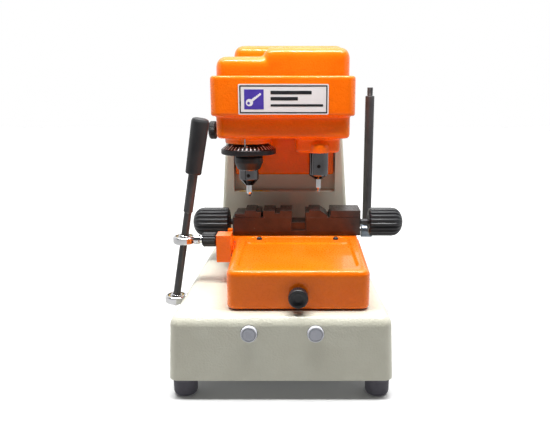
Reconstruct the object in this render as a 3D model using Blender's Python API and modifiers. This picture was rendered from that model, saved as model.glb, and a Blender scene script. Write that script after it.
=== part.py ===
"""Bench key duplicating machine with a vertical cutter, built as separate pieces.

Run with blender --background --python part.py, or from Blender's text editor.
Lengths in this file are millimetres and every helper converts them to metres.
Design frame: X = 0 is the machine's centre plane, Y = 0 is the plane of the two
spindles with the front at -Y, and Z = 0 is the bench top.  The "machine" empty
shifts the whole model so that the world origin is the bottom centre of its box.
"""

import math

import bmesh
import bpy
from mathutils import Vector

MM = 0.001
GAP = 0.3
MERGE = 0.00001
ALONG_X = (0, math.radians(90), 0)
ALONG_Y = (math.radians(90), 0, 0)

# Box of the whole machine in the design frame, used to centre the model.
BOX_X = (-131.3, 146.0)
BOX_Y = (-188.4, 135.0)

# Base casting
BASE_LOW, BASE_TOP = 20.0, 83.5
BASE_FRONT, BASE_BACK = -184.1, 129.5
BASE_HALF_FRONT, BASE_HALF_BACK = 105.2, 96.2
BASE_DRAFT = 2.5
BASE_WALL = 6.0
BASE_ROUND = 10.0
FOOT_INSET, FOOT_FRONT, FOOT_BACK = 10.8, -170.0, 115.0
FOOT_R, FOOT_HIGH = 12.5, 19.7
BUTTON_X = (-29.8, 32.8)
BUTTON_Z = 67.5
BUTTON_R, BUTTON_FRONT = 7.9, -188.4
BUTTON_SEAT = -184.3
INLET_X = -50.0
COLUMN_BOLTS = [(-60, 60), (60, 60), (-70, 119.5), (70, 119.5)]

# Column
COL_FRONT, COL_BACK = 50.0, 128.0
COL_LOW, COL_TOP = 83.8, 237.0
COL_HALF_LOW, COL_HALF_TOP = 85.0, 74.0
COL_WALL = 7.0
REAR_SCREW_Z = (99.0, 162.0, 226.0)
RECESS_HALF, RECESS_LOW, WEB_FRONT, WEB_BACK = 65.0, 162.0, 64.0, 70.0
SLOT_HALF, SLOT_LOW = 21.0, 190.0

# Feed drive through the column
SHAFT_Y, SHAFT_Z, SHAFT_R = 97.0, 99.0, 7.0
GEAR_R, GEAR_TEETH, GEAR_HALF = 20.0, 20, 6.0
TOOTH_OUT, TOOTH_IN = 1.6, 2.2
TOOTH_WIDE, TOOTH_TIP = 2.2, 1.0
FEED_ROD_X, FEED_ROD_R, FEED_ROD_TOP = 113.4, 6.0, 283.0
GUIDE_X, GUIDE_Y, GUIDE_R = 45.0, 93.0, 6.0
SPRING_R, SPRING_WIRE, SPRING_TURNS = 9.2, 0.9, 6

# Head
SPINDLE_X = 41.65
HEAD_LOW, HEAD_BAND, HEAD_RIM = 236.5, 262.0, 301.0
HEAD_HALF, HEAD_FRONT, HEAD_BACK = 76.0, -33.0, 49.0
BAND_HALF, BAND_FRONT, BAND_BACK = 81.2, -40.0, 131.0
PLATE_HALF, PLATE_LOW = 63.0, 184.0
COVER_HALF, COVER_FRONT, COVER_BACK = 74.9, -33.6, 124.6
COVER_LOW, COVER_LEFT_TOP, COVER_RIGHT_TOP, COVER_BACK_TOP = 288.0, 327.0, 337.0, 343.0
COVER_WALL, COVER_ROUND = 3.0, 10.0
COVER_SCREW_Y = (-8.0, 96.0)
MOTOR_Y, MOTOR_R, MOTOR_LOW, MOTOR_TOP = 92.3, 28.0, 254.0, 309.0
BELT_LOW, BELT_HIGH = 315.5, 324.5
MOTOR_PULLEY_R, SPINDLE_PULLEY_R = 18.0, 13.0

# Tracer and cutter
DIAL_R, DIAL_TOP, DIAL_RIM, DIAL_LOW = 32.5, 228.3, 222.2, 216.7
TRACER_R, TRACER_TIP = 12.0, 165.3
CUTTER_R, CUTTER_TIP = 11.5, 170.0

# Cross slides and tray
Y_RAIL_X = (-30.0, 34.0)
X_RAIL_Y = (-70.0, 5.0)
TABLE_X, TABLE_Y, TABLE_Z = (-42.0, 46.0), (-95.0, 12.0), (88.0, 99.0)
CARRIAGE_LOW, CARRIAGE_TOP = 100.0, 118.0
ARM_LEFT, ARM_TOP = -71.6, 137.5
TRAY_X = 16.5
TRAY_FRONT, TRAY_BACK, TRAY_LOW, TRAY_TOP = -169.0, -30.0, 85.0, 123.5
TRAY_HALF_FRONT, TRAY_HALF_BACK, TRAY_WALL, TRAY_ROOF = 68.8, 71.8, 4.0, 118.4
TRAY_SCREW_X, TRAY_SCREW_Y = (-27.4, 60.4), -45.4

# Vises
VISE_FRONT, VISE_BACK, VISE_Y = -12.0, 24.0, 6.0
VISE_LOW, VISE_TOP = 123.8, 141.0
VISE_AXIS_Z, VISE_SCREW_R = 132.0, 3.5
LEFT_VISE, RIGHT_VISE = (-61.5, 10.0), (26.0, 92.5)
JAW_LOW = 141.3
# Steps across the top of each jaw: start, end and height
LEFT_JAW_STEPS = [(-58.4, -47.4, 145.5), (-46.4, -33.2, 149.5), (-32.9, -27.3, 147.6)]
LEFT_FIXED_STEPS = [(-24.8, -10.8, 149.2), (-10.6, -4.7, 145.8), (-4.5, 9.8, 149.2)]
RIGHT_FIXED_STEPS = [(26.2, 30.5, 147.2), (30.7, 44.1, 149.5), (52.3, 52.6, 143.6)]
RIGHT_JAW_STEPS = [(55.2, 56.4, 143.5), (56.5, 92.3, 149.4)]
KNOB_R, KNOB_FLUTES, KNOB_FLUTE_DEEP = 17.5, 12, 1.1

# Hand lever on two ball ends
LEVER_Y = -78.0
LOW_BALL = (-119.3, LEVER_Y, 63.3)
HIGH_BALL = (-107.6, LEVER_Y, 131.0)
LEVER_TILT = math.atan2(HIGH_BALL[0] - LOW_BALL[0], HIGH_BALL[2] - LOW_BALL[2])
BALL_R, RACE_IN, RACE_OUT, RING_IN, RING_OUT = 7.5, 7.8, 9.0, 9.3, 12.0
BALL_HALF, RACE_HALF, RING_HALF = 5.2, 3.4, 4.2
LEVER_R, LEVER_R_HIGH, LEVER_COLLAR, LEVER_TOP = 4.0, 5.0, 99.9, 171.0
UPPER_BORE = 5.1
GRIP_LOW, GRIP_TOP = 141.9, 201.7

# Colour, roughness and metallic value of each finish
FINISHES = {
    "cream": ((0.78, 0.77, 0.66), 0.45, 0.0),
    "orange": ((0.95, 0.22, 0.01), 0.35, 0.0),
    "black": ((0.03, 0.03, 0.035), 0.5, 0.0),
    "blackened": ((0.035, 0.03, 0.03), 0.35, 0.8),
    "steel": ((0.62, 0.62, 0.63), 0.3, 1.0),
    "chrome": ((0.75, 0.75, 0.76), 0.12, 1.0),
    "aluminium": ((0.72, 0.72, 0.72), 0.4, 1.0),
    "bronze": ((0.70, 0.46, 0.20), 0.35, 1.0),
    "rubber": ((0.06, 0.06, 0.07), 0.8, 0.0),
    "button": ((0.50, 0.52, 0.62), 0.4, 0.0),
    "plate": ((0.85, 0.85, 0.85), 0.3, 0.0),
}

BODIES = {}


# ---------------------------------------------------------------- scene helpers

def clear_scene():
    for obj in list(bpy.data.objects):
        bpy.data.objects.remove(obj, do_unlink=True)


def new_collection(name):
    collection = bpy.data.collections.new(name)
    bpy.context.scene.collection.children.link(collection)
    return collection


def add_body(name, at, parent=None, tilt=0.0):
    """An empty on a moving body's joint axis, in design coordinates."""
    empty = bpy.data.objects.new(name + "_pivot", None)
    PARTS.objects.link(empty)
    origin = Vector(at)
    if parent:
        empty.parent = BODIES[parent][0]
        empty.location = (origin - BODIES[parent][1]) * MM
    else:
        empty.location = origin * MM
    empty.rotation_euler = (0, tilt, 0)
    BODIES[name] = (empty, origin)


def give_finish(obj, finish):
    colour, roughness, metallic = FINISHES[finish]
    material = bpy.data.materials.new(obj.name + "_finish")
    material.use_nodes = True
    shader = material.node_tree.nodes["Principled BSDF"]
    shader.inputs["Base Color"].default_value = (*colour, 1.0)
    shader.inputs["Roughness"].default_value = roughness
    shader.inputs["Metallic"].default_value = metallic
    obj.data.materials.append(material)


def add_object(name, data, at, body, finish, turn=(0, 0, 0)):
    """Link an object; without a finish it is a cutter or a joining shape."""
    obj = bpy.data.objects.new(name, data)
    if finish:
        PARTS.objects.link(obj)
        give_finish(obj, finish)
    else:
        CUTTERS.objects.link(obj)
        obj.hide_render = True
        obj.display_type = "WIRE"
    empty, origin = BODIES[body]
    obj.parent = empty
    obj.location = (Vector(at) - origin) * MM
    obj.rotation_euler = turn
    return obj


def to_mesh(name, bm, smooth=False):
    mesh = bpy.data.meshes.new(name)
    bm.to_mesh(mesh)
    bm.free()
    if smooth:
        mesh.shade_smooth()
        mesh.set_sharp_from_angle(angle=math.radians(35))
    return mesh


# ---------------------------------------------------------------- shape helpers

def upright(edge):
    a, b = edge.verts
    return abs(a.co.z - b.co.z) > 0.5 * edge.calc_length()


def round_edges(bm, radius, segments, wanted):
    edges = [edge for edge in bm.edges if wanted(edge)]
    bmesh.ops.bevel(bm, geom=edges, offset=radius * MM, offset_type="OFFSET",
                    segments=segments, profile=0.5, affect="EDGES", clamp_overlap=True)


def shaped_block(corner):
    """A cube whose eight corners go where corner(sx, sy, sz) says."""
    bm = bmesh.new()
    bmesh.ops.create_cube(bm, size=2)
    for vert in bm.verts:
        sx, sy, sz = (round(c) for c in vert.co)
        vert.co = Vector(corner(sx, sy, sz)) * MM
    return bm


def block(name, low, high, body="frame", finish=None, sides=0.0, top=0.0, bottom=0.0, segments=2):
    """A box from its low corner to its high one, with rounded edges."""
    size = [(b - a) / 2 for a, b in zip(low, high)]
    middle = [(b + a) / 2 for a, b in zip(low, high)]
    bm = shaped_block(lambda sx, sy, sz: (sx * size[0], sy * size[1], sz * size[2]))
    level = size[2] * MM * 0.99
    if sides:
        round_edges(bm, sides, segments, upright)
    if top:
        round_edges(bm, top, segments, lambda e: min(v.co.z for v in e.verts) > level)
    if bottom:
        round_edges(bm, bottom, segments, lambda e: max(v.co.z for v in e.verts) < -level)
    return add_object(name, to_mesh(name, bm, bool(sides or top)), middle, body, finish)


def cylinder(name, radius, length, at, body="frame", finish=None, turn=(0, 0, 0), sides=12):
    """A cylinder centred on `at`, along Z before it is turned."""
    bm = bmesh.new()
    bmesh.ops.create_cone(bm, cap_ends=True, segments=sides, radius1=radius * MM,
                          radius2=radius * MM, depth=length * MM)
    return add_object(name, to_mesh(name, bm, True), at, body, finish, turn)


def turned(name, profile, at, body="frame", finish=None, turn=(0, 0, 0), steps=12, ring=False):
    """A profile of (radius, height) points, outer side going down, spun about Z."""
    bm = bmesh.new()
    verts = [bm.verts.new((r * MM, 0, z * MM)) for r, z in profile]
    for a, b in zip(verts, verts[1:]):
        bm.edges.new((a, b))
    if ring:
        bm.edges.new((verts[-1], verts[0]))
    obj = add_object(name, to_mesh(name, bm), at, body, finish, turn)
    screw = obj.modifiers.new("Turn", "SCREW")
    screw.steps = steps
    screw.render_steps = steps
    screw.use_merge_vertices = True
    screw.merge_threshold = MERGE
    screw.use_smooth_shade = True
    return obj


def arc(x, y, radius, start, end, count):
    """Points on an arc, angles in degrees."""
    turns = [math.radians(start + (end - start) * i / count) for i in range(count + 1)]
    return [(x + radius * math.cos(t), y + radius * math.sin(t)) for t in turns]


def circle(x, y, radius, count):
    return arc(x, y, radius, 0, 360, count)[:-1]


def extruded(name, outlines, thickness, at, body="frame", finish=None, turn=(0, 0, 0)):
    """Flat outlines, later ones being holes, thickened along their own Z."""
    curve = bpy.data.curves.new(name, "CURVE")
    curve.dimensions = "2D"
    curve.fill_mode = "BOTH"
    curve.extrude = thickness / 2 * MM
    for outline in outlines:
        spline = curve.splines.new("POLY")
        spline.points.add(len(outline) - 1)
        for point, (x, y) in zip(spline.points, outline):
            point.co = (x * MM, y * MM, 0, 1)
        spline.use_cyclic_u = True
    return add_object(name, curve, at, body, finish, turn)


def as_mesh(obj):
    """The same object as a plain mesh, with its modifiers applied and its caps welded."""
    bpy.context.view_layer.update()
    evaluated = obj.evaluated_get(bpy.context.evaluated_depsgraph_get())
    mesh = bpy.data.meshes.new_from_object(evaluated)
    bm = bmesh.new()
    bm.from_mesh(mesh)
    bmesh.ops.remove_doubles(bm, verts=bm.verts, dist=MERGE)
    bm.to_mesh(mesh)
    bm.free()
    name = obj.name
    obj.name = name + "_source"
    solid = bpy.data.objects.new(name, mesh)
    for collection in obj.users_collection:
        collection.objects.link(solid)
    solid.hide_render = obj.hide_render
    solid.display_type = obj.display_type
    solid.parent = obj.parent
    solid.location = obj.location
    solid.rotation_euler = obj.rotation_euler
    bpy.data.objects.remove(obj, do_unlink=True)
    mesh.name = name
    return solid


def flute(obj, count, deep, low, high):
    """Grooves along a turned piece: every third line of points between low and high sinks."""
    solid = as_mesh(obj)
    for vert in solid.data.vertices:
        x, y, z = vert.co
        if low * MM <= z <= high * MM:
            wave = math.cos(count * math.atan2(y, x))
            if wave < 0:
                radius = math.hypot(x, y)
                scale = (radius - deep * MM) / radius
                vert.co = (x * scale, y * scale, z)
    return solid


def boolean(obj, others, operation):
    for other in others:
        modifier = obj.modifiers.new(operation.title(), "BOOLEAN")
        modifier.operation = operation
        modifier.solver = "EXACT"
        modifier.object = other
    return obj


def cut(obj, *others):
    return boolean(obj, others, "DIFFERENCE")


def join(obj, *others):
    return boolean(obj, others, "UNION")


def hole(radius, at, length, body="frame", turn=(0, 0, 0), sides=12):
    return cylinder("hole", radius, length, at, body, turn=turn, sides=sides)


def pocket(low, high, body="frame", **rounding):
    return block("pocket", low, high, body, **rounding)


# ---------------------------------------------------------------- base

def base_half(y):
    """Half width of the base's top at depth y."""
    share = (y - BASE_FRONT) / (BASE_BACK - BASE_FRONT)
    return BASE_HALF_FRONT + share * (BASE_HALF_BACK - BASE_HALF_FRONT)


def base_shell(low, high, inset):
    def corner(sx, sy, sz):
        grow = BASE_DRAFT if sz < 0 else 0.0
        y = BASE_FRONT + inset - grow if sy < 0 else BASE_BACK - inset + grow
        return (sx * (base_half(y) - inset + grow), y, low if sz < 0 else high)
    return shaped_block(corner)


def make_base():
    bm = base_shell(BASE_LOW, BASE_TOP, 0.0)
    level = BASE_LOW * MM * 1.01
    round_edges(bm, BASE_ROUND, 2, lambda e: max(v.co.z for v in e.verts) > level)
    base = add_object("base_casting", to_mesh("base_casting", bm, True), (0, 0, 0), "frame", "cream")
    inner = base_shell(BASE_LOW - 1, BASE_TOP - BASE_WALL, BASE_WALL)
    cavity = add_object("cavity", to_mesh("cavity", inner), (0, 0, 0), "frame", None)
    cut(base, cavity, pocket((-58, 66, BASE_TOP - 10), (58, 116, BASE_TOP + 5)))
    for x in BUTTON_X:
        cut(base, hole(BUTTON_R + 0.4, (x, BASE_FRONT - 1.5, BUTTON_Z), 7.8, turn=ALONG_Y))
        cut(base, hole(4.6, (x, BASE_FRONT, BUTTON_Z), 20, turn=ALONG_Y, sides=16))
    cut(base, hole(4.6, (-98, LOW_BALL[1], LOW_BALL[2]), 16, turn=ALONG_X, sides=16))
    cut(base, pocket((INLET_X - 14.5, 120, 39), (INLET_X + 14.5, 140, 61)))
    for x, y in COLUMN_BOLTS:
        cut(base, hole(3.4, (x, y, BASE_TOP), 20, sides=12))
    return base


def make_underside():
    bm = base_shell(BASE_LOW + 0.2, BASE_LOW + 2.2, BASE_WALL + 1.0)
    for vert in bm.verts:
        vert.co.x -= math.copysign(0.5 * MM, vert.co.x)
    plate = add_object("bottom_plate", to_mesh("bottom_plate", bm), (0, 0, 0), "frame", "steel")
    for i in range(6):
        cut(plate, pocket((-30, 20 + 12 * i, BASE_LOW - 2), (30, 24 + 12 * i, BASE_LOW + 5)))
    profile = [(0, FOOT_HIGH), (FOOT_R, FOOT_HIGH), (FOOT_R, FOOT_HIGH - 3)]
    profile += [(FOOT_R - 3.3 + r, z) for r, z in arc(0, 2.6, 2.6, 0, -90, 3)]
    profile += [(0, 0)]
    for side, sign in (("left", -1), ("right", 1)):
        for end, y in (("front", FOOT_FRONT), ("back", FOOT_BACK)):
            x = sign * (base_half(y) - FOOT_INSET)
            turned(f"{end}_{side}_foot", profile, (x, y, 0), finish="rubber")


def make_buttons():
    for side, x in zip(("left", "right"), BUTTON_X):
        body = side + "_button"
        cap = [(0, 0), (5.6, 0), (6.2, -0.5), (6.4, -0.1), (7.2, -0.1), (BUTTON_R, -0.8),
               (BUTTON_R, BUTTON_FRONT - BUTTON_SEAT), (4.0, BUTTON_FRONT - BUTTON_SEAT),
               (4.0, -9.5), (0, -9.5)]
        turned(body, cap, (x, BUTTON_FRONT, BUTTON_Z), body, "button", ALONG_Y)
    switches = block("switches", (-45, -178.0, 55), (48, -175.5, 76), finish="black")
    for x in BUTTON_X:
        join(switches, pocket((x - 8, -176.0, 59), (x + 8, -158.0, 75.5)))
        cut(switches, hole(5.0, (x, -177, BUTTON_Z), 6, turn=ALONG_Y, sides=16))


def make_inlet():
    inlet = block("power_inlet", (INLET_X - 24, 132.6, 38), (INLET_X + 24, 135.0, 62), finish="black")
    join(inlet, pocket((INLET_X - 14, 112, 39.5), (INLET_X + 14, 133, 60.5)))
    cut(inlet, pocket((INLET_X - 11.5, 120, 42.5), (INLET_X + 11.5, 140, 57.5)))
    for x, z in ((-6, 48), (6, 48), (0, 52.5)):
        join(inlet, pocket((INLET_X + x - 1, 118, z - 1.8), (INLET_X + x + 1, 131, z + 1.8)))


# ---------------------------------------------------------------- column

def column_half(z):
    share = (z - COL_LOW) / (COL_TOP - COL_LOW)
    return COL_HALF_LOW + share * (COL_HALF_TOP - COL_HALF_LOW)


def tapered_slab(low, high, front, back, inset):
    def corner(sx, sy, sz):
        z = low if sz < 0 else high
        return (sx * (column_half(z) - inset), front if sy < 0 else back, z)
    return shaped_block(corner)


def make_column():
    bm = tapered_slab(COL_LOW, COL_TOP, COL_FRONT, COL_BACK, 0.0)
    round_edges(bm, 5.0, 2, upright)
    column = add_object("column_casting", to_mesh("column_casting", bm, True), (0, 0, 0),
                        "frame", "cream")
    inner = tapered_slab(COL_LOW - 1, COL_TOP + 1, WEB_BACK, COL_BACK + 1, COL_WALL)
    cut(column, add_object("cavity", to_mesh("cavity", inner), (0, 0, 0), "frame", None))
    cut(column, pocket((-RECESS_HALF, COL_FRONT - 1, RECESS_LOW), (RECESS_HALF, WEB_FRONT, 240)))
    cut(column, pocket((-SLOT_HALF, WEB_FRONT - 1, SLOT_LOW), (SLOT_HALF, WEB_BACK + 1, 240)))
    for side in (-1, 1):
        post = [sorted((side * 61, side * 80.5)), (112.5, 127.0)]
        join(column, pocket((post[0][0], post[1][0], COL_LOW + 0.1), (post[0][1], post[1][1], 108)))
        cut(column, hole(9.2, (side * 80, SHAFT_Y, SHAFT_Z), 20, turn=ALONG_X))
    for x, y in COLUMN_BOLTS:
        cut(column, hole(3.4, (x, y, COL_LOW), 24, sides=12))
    return column


def make_rear_cover(column):
    bm = tapered_slab(COL_LOW + 1, COL_TOP - 1, COL_BACK + GAP, COL_BACK + 2.3, 1.0)
    cover = add_object("rear_cover", to_mesh("rear_cover", bm), (0, 0, 0), "frame", "cream")
    for i in range(7):
        z = 120 + 12 * i
        cut(cover, pocket((-35, 120, z), (35, 140, z + 5)))
    for side in (-1, 1):
        for z in REAR_SCREW_Z:
            spot = (side * (column_half(z) - COL_WALL / 2), COL_BACK, z)
            cut(cover, hole(1.9, spot, 12, turn=ALONG_Y, sides=12))
            cut(column, hole(1.9, spot, 16, turn=ALONG_Y, sides=12))


# ---------------------------------------------------------------- feed drive

def tooth_ring():
    """Outline of the feed gear; one tooth points along -X of the outline."""
    points = []
    step = math.tau / GEAR_TEETH
    for i in range(GEAR_TEETH):
        middle = math.pi + i * step
        for share, radius in ((-TOOTH_WIDE, -TOOTH_IN), (-TOOTH_TIP, TOOTH_OUT),
                              (TOOTH_TIP, TOOTH_OUT), (TOOTH_WIDE, -TOOTH_IN)):
            angle = middle + share / 2 / GEAR_R
            points.append(((GEAR_R + radius) * math.cos(angle), (GEAR_R + radius) * math.sin(angle)))
    return points


def rack_outline(low, high, back):
    """Outline in (depth, height) with teeth facing the gear, a gap at the gear's centre."""
    pitch = math.tau * GEAR_R / GEAR_TEETH
    line = SHAFT_Y - GEAR_R
    points = [(back, low), (line - TOOTH_IN, low)]
    for i in range(-2, 5):
        z = SHAFT_Z + (i + 0.5) * pitch
        points += [(line - TOOTH_IN, z - TOOTH_WIDE / 2), (line + TOOTH_OUT, z - TOOTH_TIP / 2),
                   (line + TOOTH_OUT, z + TOOTH_TIP / 2), (line - TOOTH_IN, z + TOOTH_WIDE / 2)]
    points += [(line - TOOTH_IN, high), (back, high)]
    return points


def make_feed_drive():
    body = "feed_lever"
    shaft = [(0, 121.4), (SHAFT_R - 0.8, 121.4), (SHAFT_R, 120.6), (SHAFT_R, -89.5), (11.0, -89.5),
             (11.0, -95.0), (10.3, -95.8), (0, -95.8)]
    turned("feed_shaft", shaft, (0, SHAFT_Y, SHAFT_Z), body, "steel", ALONG_X)
    spin = (math.radians(90), 0, math.radians(90))
    extruded("feed_gear", [tooth_ring(), circle(0, 0, SHAFT_R + GAP, 24)], 2 * GEAR_HALF,
             (0, SHAFT_Y, SHAFT_Z), body, "steel", spin)
    hub = [(9.5, 8.0), (9.5, -8.0), (SHAFT_R + GAP, -8.0), (SHAFT_R + GAP, 8.0)]
    turned("feed_hub", hub, (FEED_ROD_X, SHAFT_Y, SHAFT_Z), body, "steel", ALONG_X, ring=True)
    low = 9.9
    top = FEED_ROD_TOP - SHAFT_Z
    rod = [(0, top + 11), (3.4, top + 11), (4.0, top + 10.4), (4.0, top), (5.4, top),
           (FEED_ROD_R, top - 0.6), (FEED_ROD_R, low + 0.6), (5.4, low), (0, low)]
    turned("feed_rod", rod, (FEED_ROD_X, SHAFT_Y, SHAFT_Z), body, "blackened")
    bush = [(8.8, -77.5), (8.8, -85.7), (11.0, -85.7), (11.0, -87.7), (SHAFT_R + GAP, -87.7),
            (SHAFT_R + GAP, -77.5)]
    for side, turn in (("left", ALONG_X), ("right", (0, math.radians(-90), 0))):
        turned(side + "_shaft_bush", bush, (0, SHAFT_Y, SHAFT_Z), finish="bronze", turn=turn,
               ring=True)


def make_guides():
    frame = block("guide_frame", (-74.3, 84, 122), (74.3, 102, 130), finish="aluminium")
    join(frame, pocket((-65.5, 84, 228), (65.5, 102, 236)))
    for side, x in (("left", -GUIDE_X), ("right", GUIDE_X)):
        cylinder(side + "_guide_rod", GUIDE_R, 113.0, (x, GUIDE_Y, 179.0), finish="chrome")
        cut(frame, hole(GUIDE_R + GAP, (x, GUIDE_Y, 179), 140))
        post = sorted((math.copysign(59.5, x), math.copysign(65.0, x)))
        join(frame, pocket((post[0], 86, 126), (post[1], 100, 232)))
        make_spring(side + "_return_spring", x)


def make_spring(name, x):
    points = []
    low, high = 131.4, 193.5
    count = SPRING_TURNS * 8
    for i in range(count + 1):
        angle = math.tau * i / 8
        z = low + (high - low) * i / count
        points.append((SPRING_R * math.cos(angle), SPRING_R * math.sin(angle), z))
    curve = bpy.data.curves.new(name, "CURVE")
    curve.dimensions = "3D"
    curve.bevel_depth = SPRING_WIRE * MM
    curve.bevel_resolution = 0
    curve.use_fill_caps = True
    spline = curve.splines.new("POLY")
    spline.points.add(count)
    for point, place in zip(spline.points, points):
        point.co = (*(Vector(place) * MM), 1)
    add_object(name, curve, (x, GUIDE_Y, 0), "springs", "steel")


def make_slide_block():
    slide = block("slide_block", (-58, 79.3, 195), (58, 107, 226), "head", "aluminium")
    for x in (-GUIDE_X, GUIDE_X):
        cut(slide, hole(GUIDE_R + GAP, (x, GUIDE_Y, 211), 40, "head"))
    turn = (math.radians(90), 0, math.radians(90))
    extruded("feed_rack", [rack_outline(82.0, 205.7, 71.0)], 2 * GEAR_HALF - 1, (0, 0, 0), "head",
             "steel", turn)


# ---------------------------------------------------------------- head

def make_head():
    head = block("head_casting", (-BAND_HALF, BAND_FRONT, HEAD_BAND), (BAND_HALF, BAND_BACK, HEAD_RIM),
                 "head", "orange", sides=11, top=3, bottom=2)
    join(head, pocket((-HEAD_HALF, HEAD_FRONT, HEAD_LOW), (HEAD_HALF, HEAD_BACK, 263), "head",
                      sides=9, bottom=4))
    join(head, pocket((-PLATE_HALF, 40, HEAD_LOW), (PLATE_HALF, 63.7, 264), "head"))
    join(head, pocket((-PLATE_HALF, 52.3, PLATE_LOW), (PLATE_HALF, 63.7, 240), "head"))
    join(head, pocket((-20, 63, 206), (20, 79, 224), "head"))
    join(head, cylinder("boss", 27.5, 10, (-SPINDLE_X, 0, 234.3), "head", sides=20))
    join(head, pocket((14, -25, 219.6), (65.7, 25, 240), "head", sides=10, bottom=3))
    dome = [(0, 236)] + [(12.7 * math.cos(t), 226 + 10 * math.sin(t)) for t in
                         (math.radians(90 - 30 * i) for i in range(1, 4))] + [(12.7, 219.6), (0, 219.6)]
    join(head, turned("nose", dome, (SPINDLE_X, -17.5, 0), "head"))
    cut(head, pocket((-75.2, -34, 268), (75.2, 125, 310), "head", sides=8))
    join(head, cylinder("spindle_tube", 19.5, 40, (SPINDLE_X, 0, 286), "head", sides=16))
    join(head, cylinder("tracer_tube", 19.5, 22, (-SPINDLE_X, 0, 277), "head", sides=16))
    cut(head, hole(16.6, (SPINDLE_X, 0, 290), 80, "head", sides=16))
    cut(head, hole(CUTTER_R + 0.7, (SPINDLE_X, 0, 240), 60, "head"))
    cut(head, hole(TRACER_R + 0.6, (-SPINDLE_X, 0, 260), 80, "head", sides=20))
    cut(head, hole(MOTOR_R + 0.5, (0, MOTOR_Y, 266), 30, "head", sides=20))
    cut(head, hole(4.3, (-66, 0, 244.4), 26, "head", turn=ALONG_X, sides=16))
    for side in (-1, 1):
        for y in COVER_SCREW_Y:
            cut(head, hole(2.0, (side * 76, y, 294), 20, "head", turn=ALONG_X, sides=12))
            cut(head, hole(3.6, (side * 82, y, 294), 5, "head", turn=ALONG_X, sides=16))
    block("name_plate", (-49, -41.4, 264), (50.6, BAND_FRONT - GAP, 297), "head", "plate")
    cylinder("dial_pointer", 0.7, 10.0, (-43.4, -29.7, 231.1), "head", "steel", sides=8)


def cover_blocks(wall, finish):
    left = block("top_cover" if finish else "hollow",
                 (-COVER_HALF + wall, COVER_FRONT + wall, COVER_LOW - wall),
                 (-10, COVER_BACK - wall, COVER_LEFT_TOP - wall), "head", finish,
                 sides=10 - wall, top=COVER_ROUND - wall)
    right = pocket((-22 + wall, COVER_FRONT + wall, COVER_LOW - wall),
                   (COVER_HALF - wall, COVER_BACK - wall, COVER_RIGHT_TOP - wall), "head",
                   sides=10 - wall, top=COVER_ROUND - wall)
    back = pocket((-60.6 + wall, 30 + wall, COVER_LOW - wall),
                  (COVER_HALF - wall, COVER_BACK - wall, COVER_BACK_TOP - wall), "head",
                  sides=10 - wall, top=COVER_ROUND - wall)
    return left, right, back


def make_cover():
    left, right, back = cover_blocks(0.0, "orange")
    join(left, right, back)
    cut(left, *cover_blocks(COVER_WALL, None))
    for side in (-1, 1):
        for y in COVER_SCREW_Y:
            cut(left, hole(2.0, (side * 74, y, 294), 14, "head", turn=ALONG_X, sides=12))


def make_motor():
    housing = [(0, MOTOR_TOP), (MOTOR_R - 2, MOTOR_TOP), (MOTOR_R, MOTOR_TOP - 2),
               (MOTOR_R, MOTOR_LOW + 2), (MOTOR_R - 2, MOTOR_LOW), (0, MOTOR_LOW)]
    motor = turned("motor_housing", housing, (0, MOTOR_Y, 0), "head", "aluminium", steps=20)
    join(motor, pocket((-44, 69, 268.4), (44, 117, 274), "head"))
    cut(motor, hole(4.5, (0, MOTOR_Y, MOTOR_TOP), 30, "head", sides=16))
    rotor = pulley("motor_pulley", (0, MOTOR_Y), MOTOR_PULLEY_R, 3.0, "motor")
    join(rotor, cylinder("shaft", 4.0, 31.0, (0, MOTOR_Y, 312.5), "motor", sides=16))
    pulley("spindle_pulley", (SPINDLE_X, 0), SPINDLE_PULLEY_R, 6.3, "cutter")
    pack = [(16.0, 50.0), (16.0, -5.0), (8.3, -5.0), (8.3, 5.0), (13.0, 5.2), (13.0, 39.8),
            (8.3, 40.0), (8.3, 50.0)]
    turned("spindle_bearings", pack, (SPINDLE_X, 0, 255.4), "head", "steel", ring=True)


def pulley(name, centre, radius, bore, body):
    flange = radius + 3.4
    profile = [(bore, 327.0), (flange, 327.0), (flange, 325.4), (radius, 325.0), (radius, 315.0),
               (flange, 314.6), (flange, 313.0), (bore, 313.0)]
    return turned(name, profile, (*centre, 0), body, "aluminium", ring=True, steps=16)


def belt_loop(extra):
    """Outline round both pulleys, `extra` outside their grooves."""
    apart = Vector((SPINDLE_X, -MOTOR_Y))
    heading = math.degrees(math.atan2(apart.y, apart.x))
    lean = math.degrees(math.acos((MOTOR_PULLEY_R - SPINDLE_PULLEY_R) / apart.length))
    motor = arc(0, MOTOR_Y, MOTOR_PULLEY_R + extra, heading + lean, heading + 360 - lean, 12)
    spindle = arc(SPINDLE_X, 0, SPINDLE_PULLEY_R + extra, heading - lean, heading + lean, 8)
    return motor + spindle


def make_belt():
    extruded("drive_belt", [belt_loop(2.4), belt_loop(0.5)], BELT_HIGH - BELT_LOW,
             (0, 0, (BELT_HIGH + BELT_LOW) / 2), "head", "rubber")


# ---------------------------------------------------------------- spindles

def make_cutter():
    taper = 186.2
    profile = [(0, 329), (6.0, 329), (6.0, 311), (8.0, 311), (8.0, 249), (CUTTER_R, 248),
               (CUTTER_R, 191.8), (CUTTER_R - 0.7, 190.8), (5.0, taper), (3.3, taper),
               (3.3, 215), (0, 215)]
    spindle = turned("cutter_spindle", profile, (SPINDLE_X, 0, 0), "cutter", "blackened", steps=16)
    cut(spindle, hole(2.1, (SPINDLE_X, -9, 202.5), 12, "cutter", turn=ALONG_Y, sides=12))
    bit = [(0, 214), (3.0, 214), (3.0, 174.5), (1.6, 173.0), (1.6, 170.6), (1.2, CUTTER_TIP),
           (0, CUTTER_TIP)]
    turned("cutter_bit", bit, (SPINDLE_X, 0, 0), "cutter", "chrome")


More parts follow.
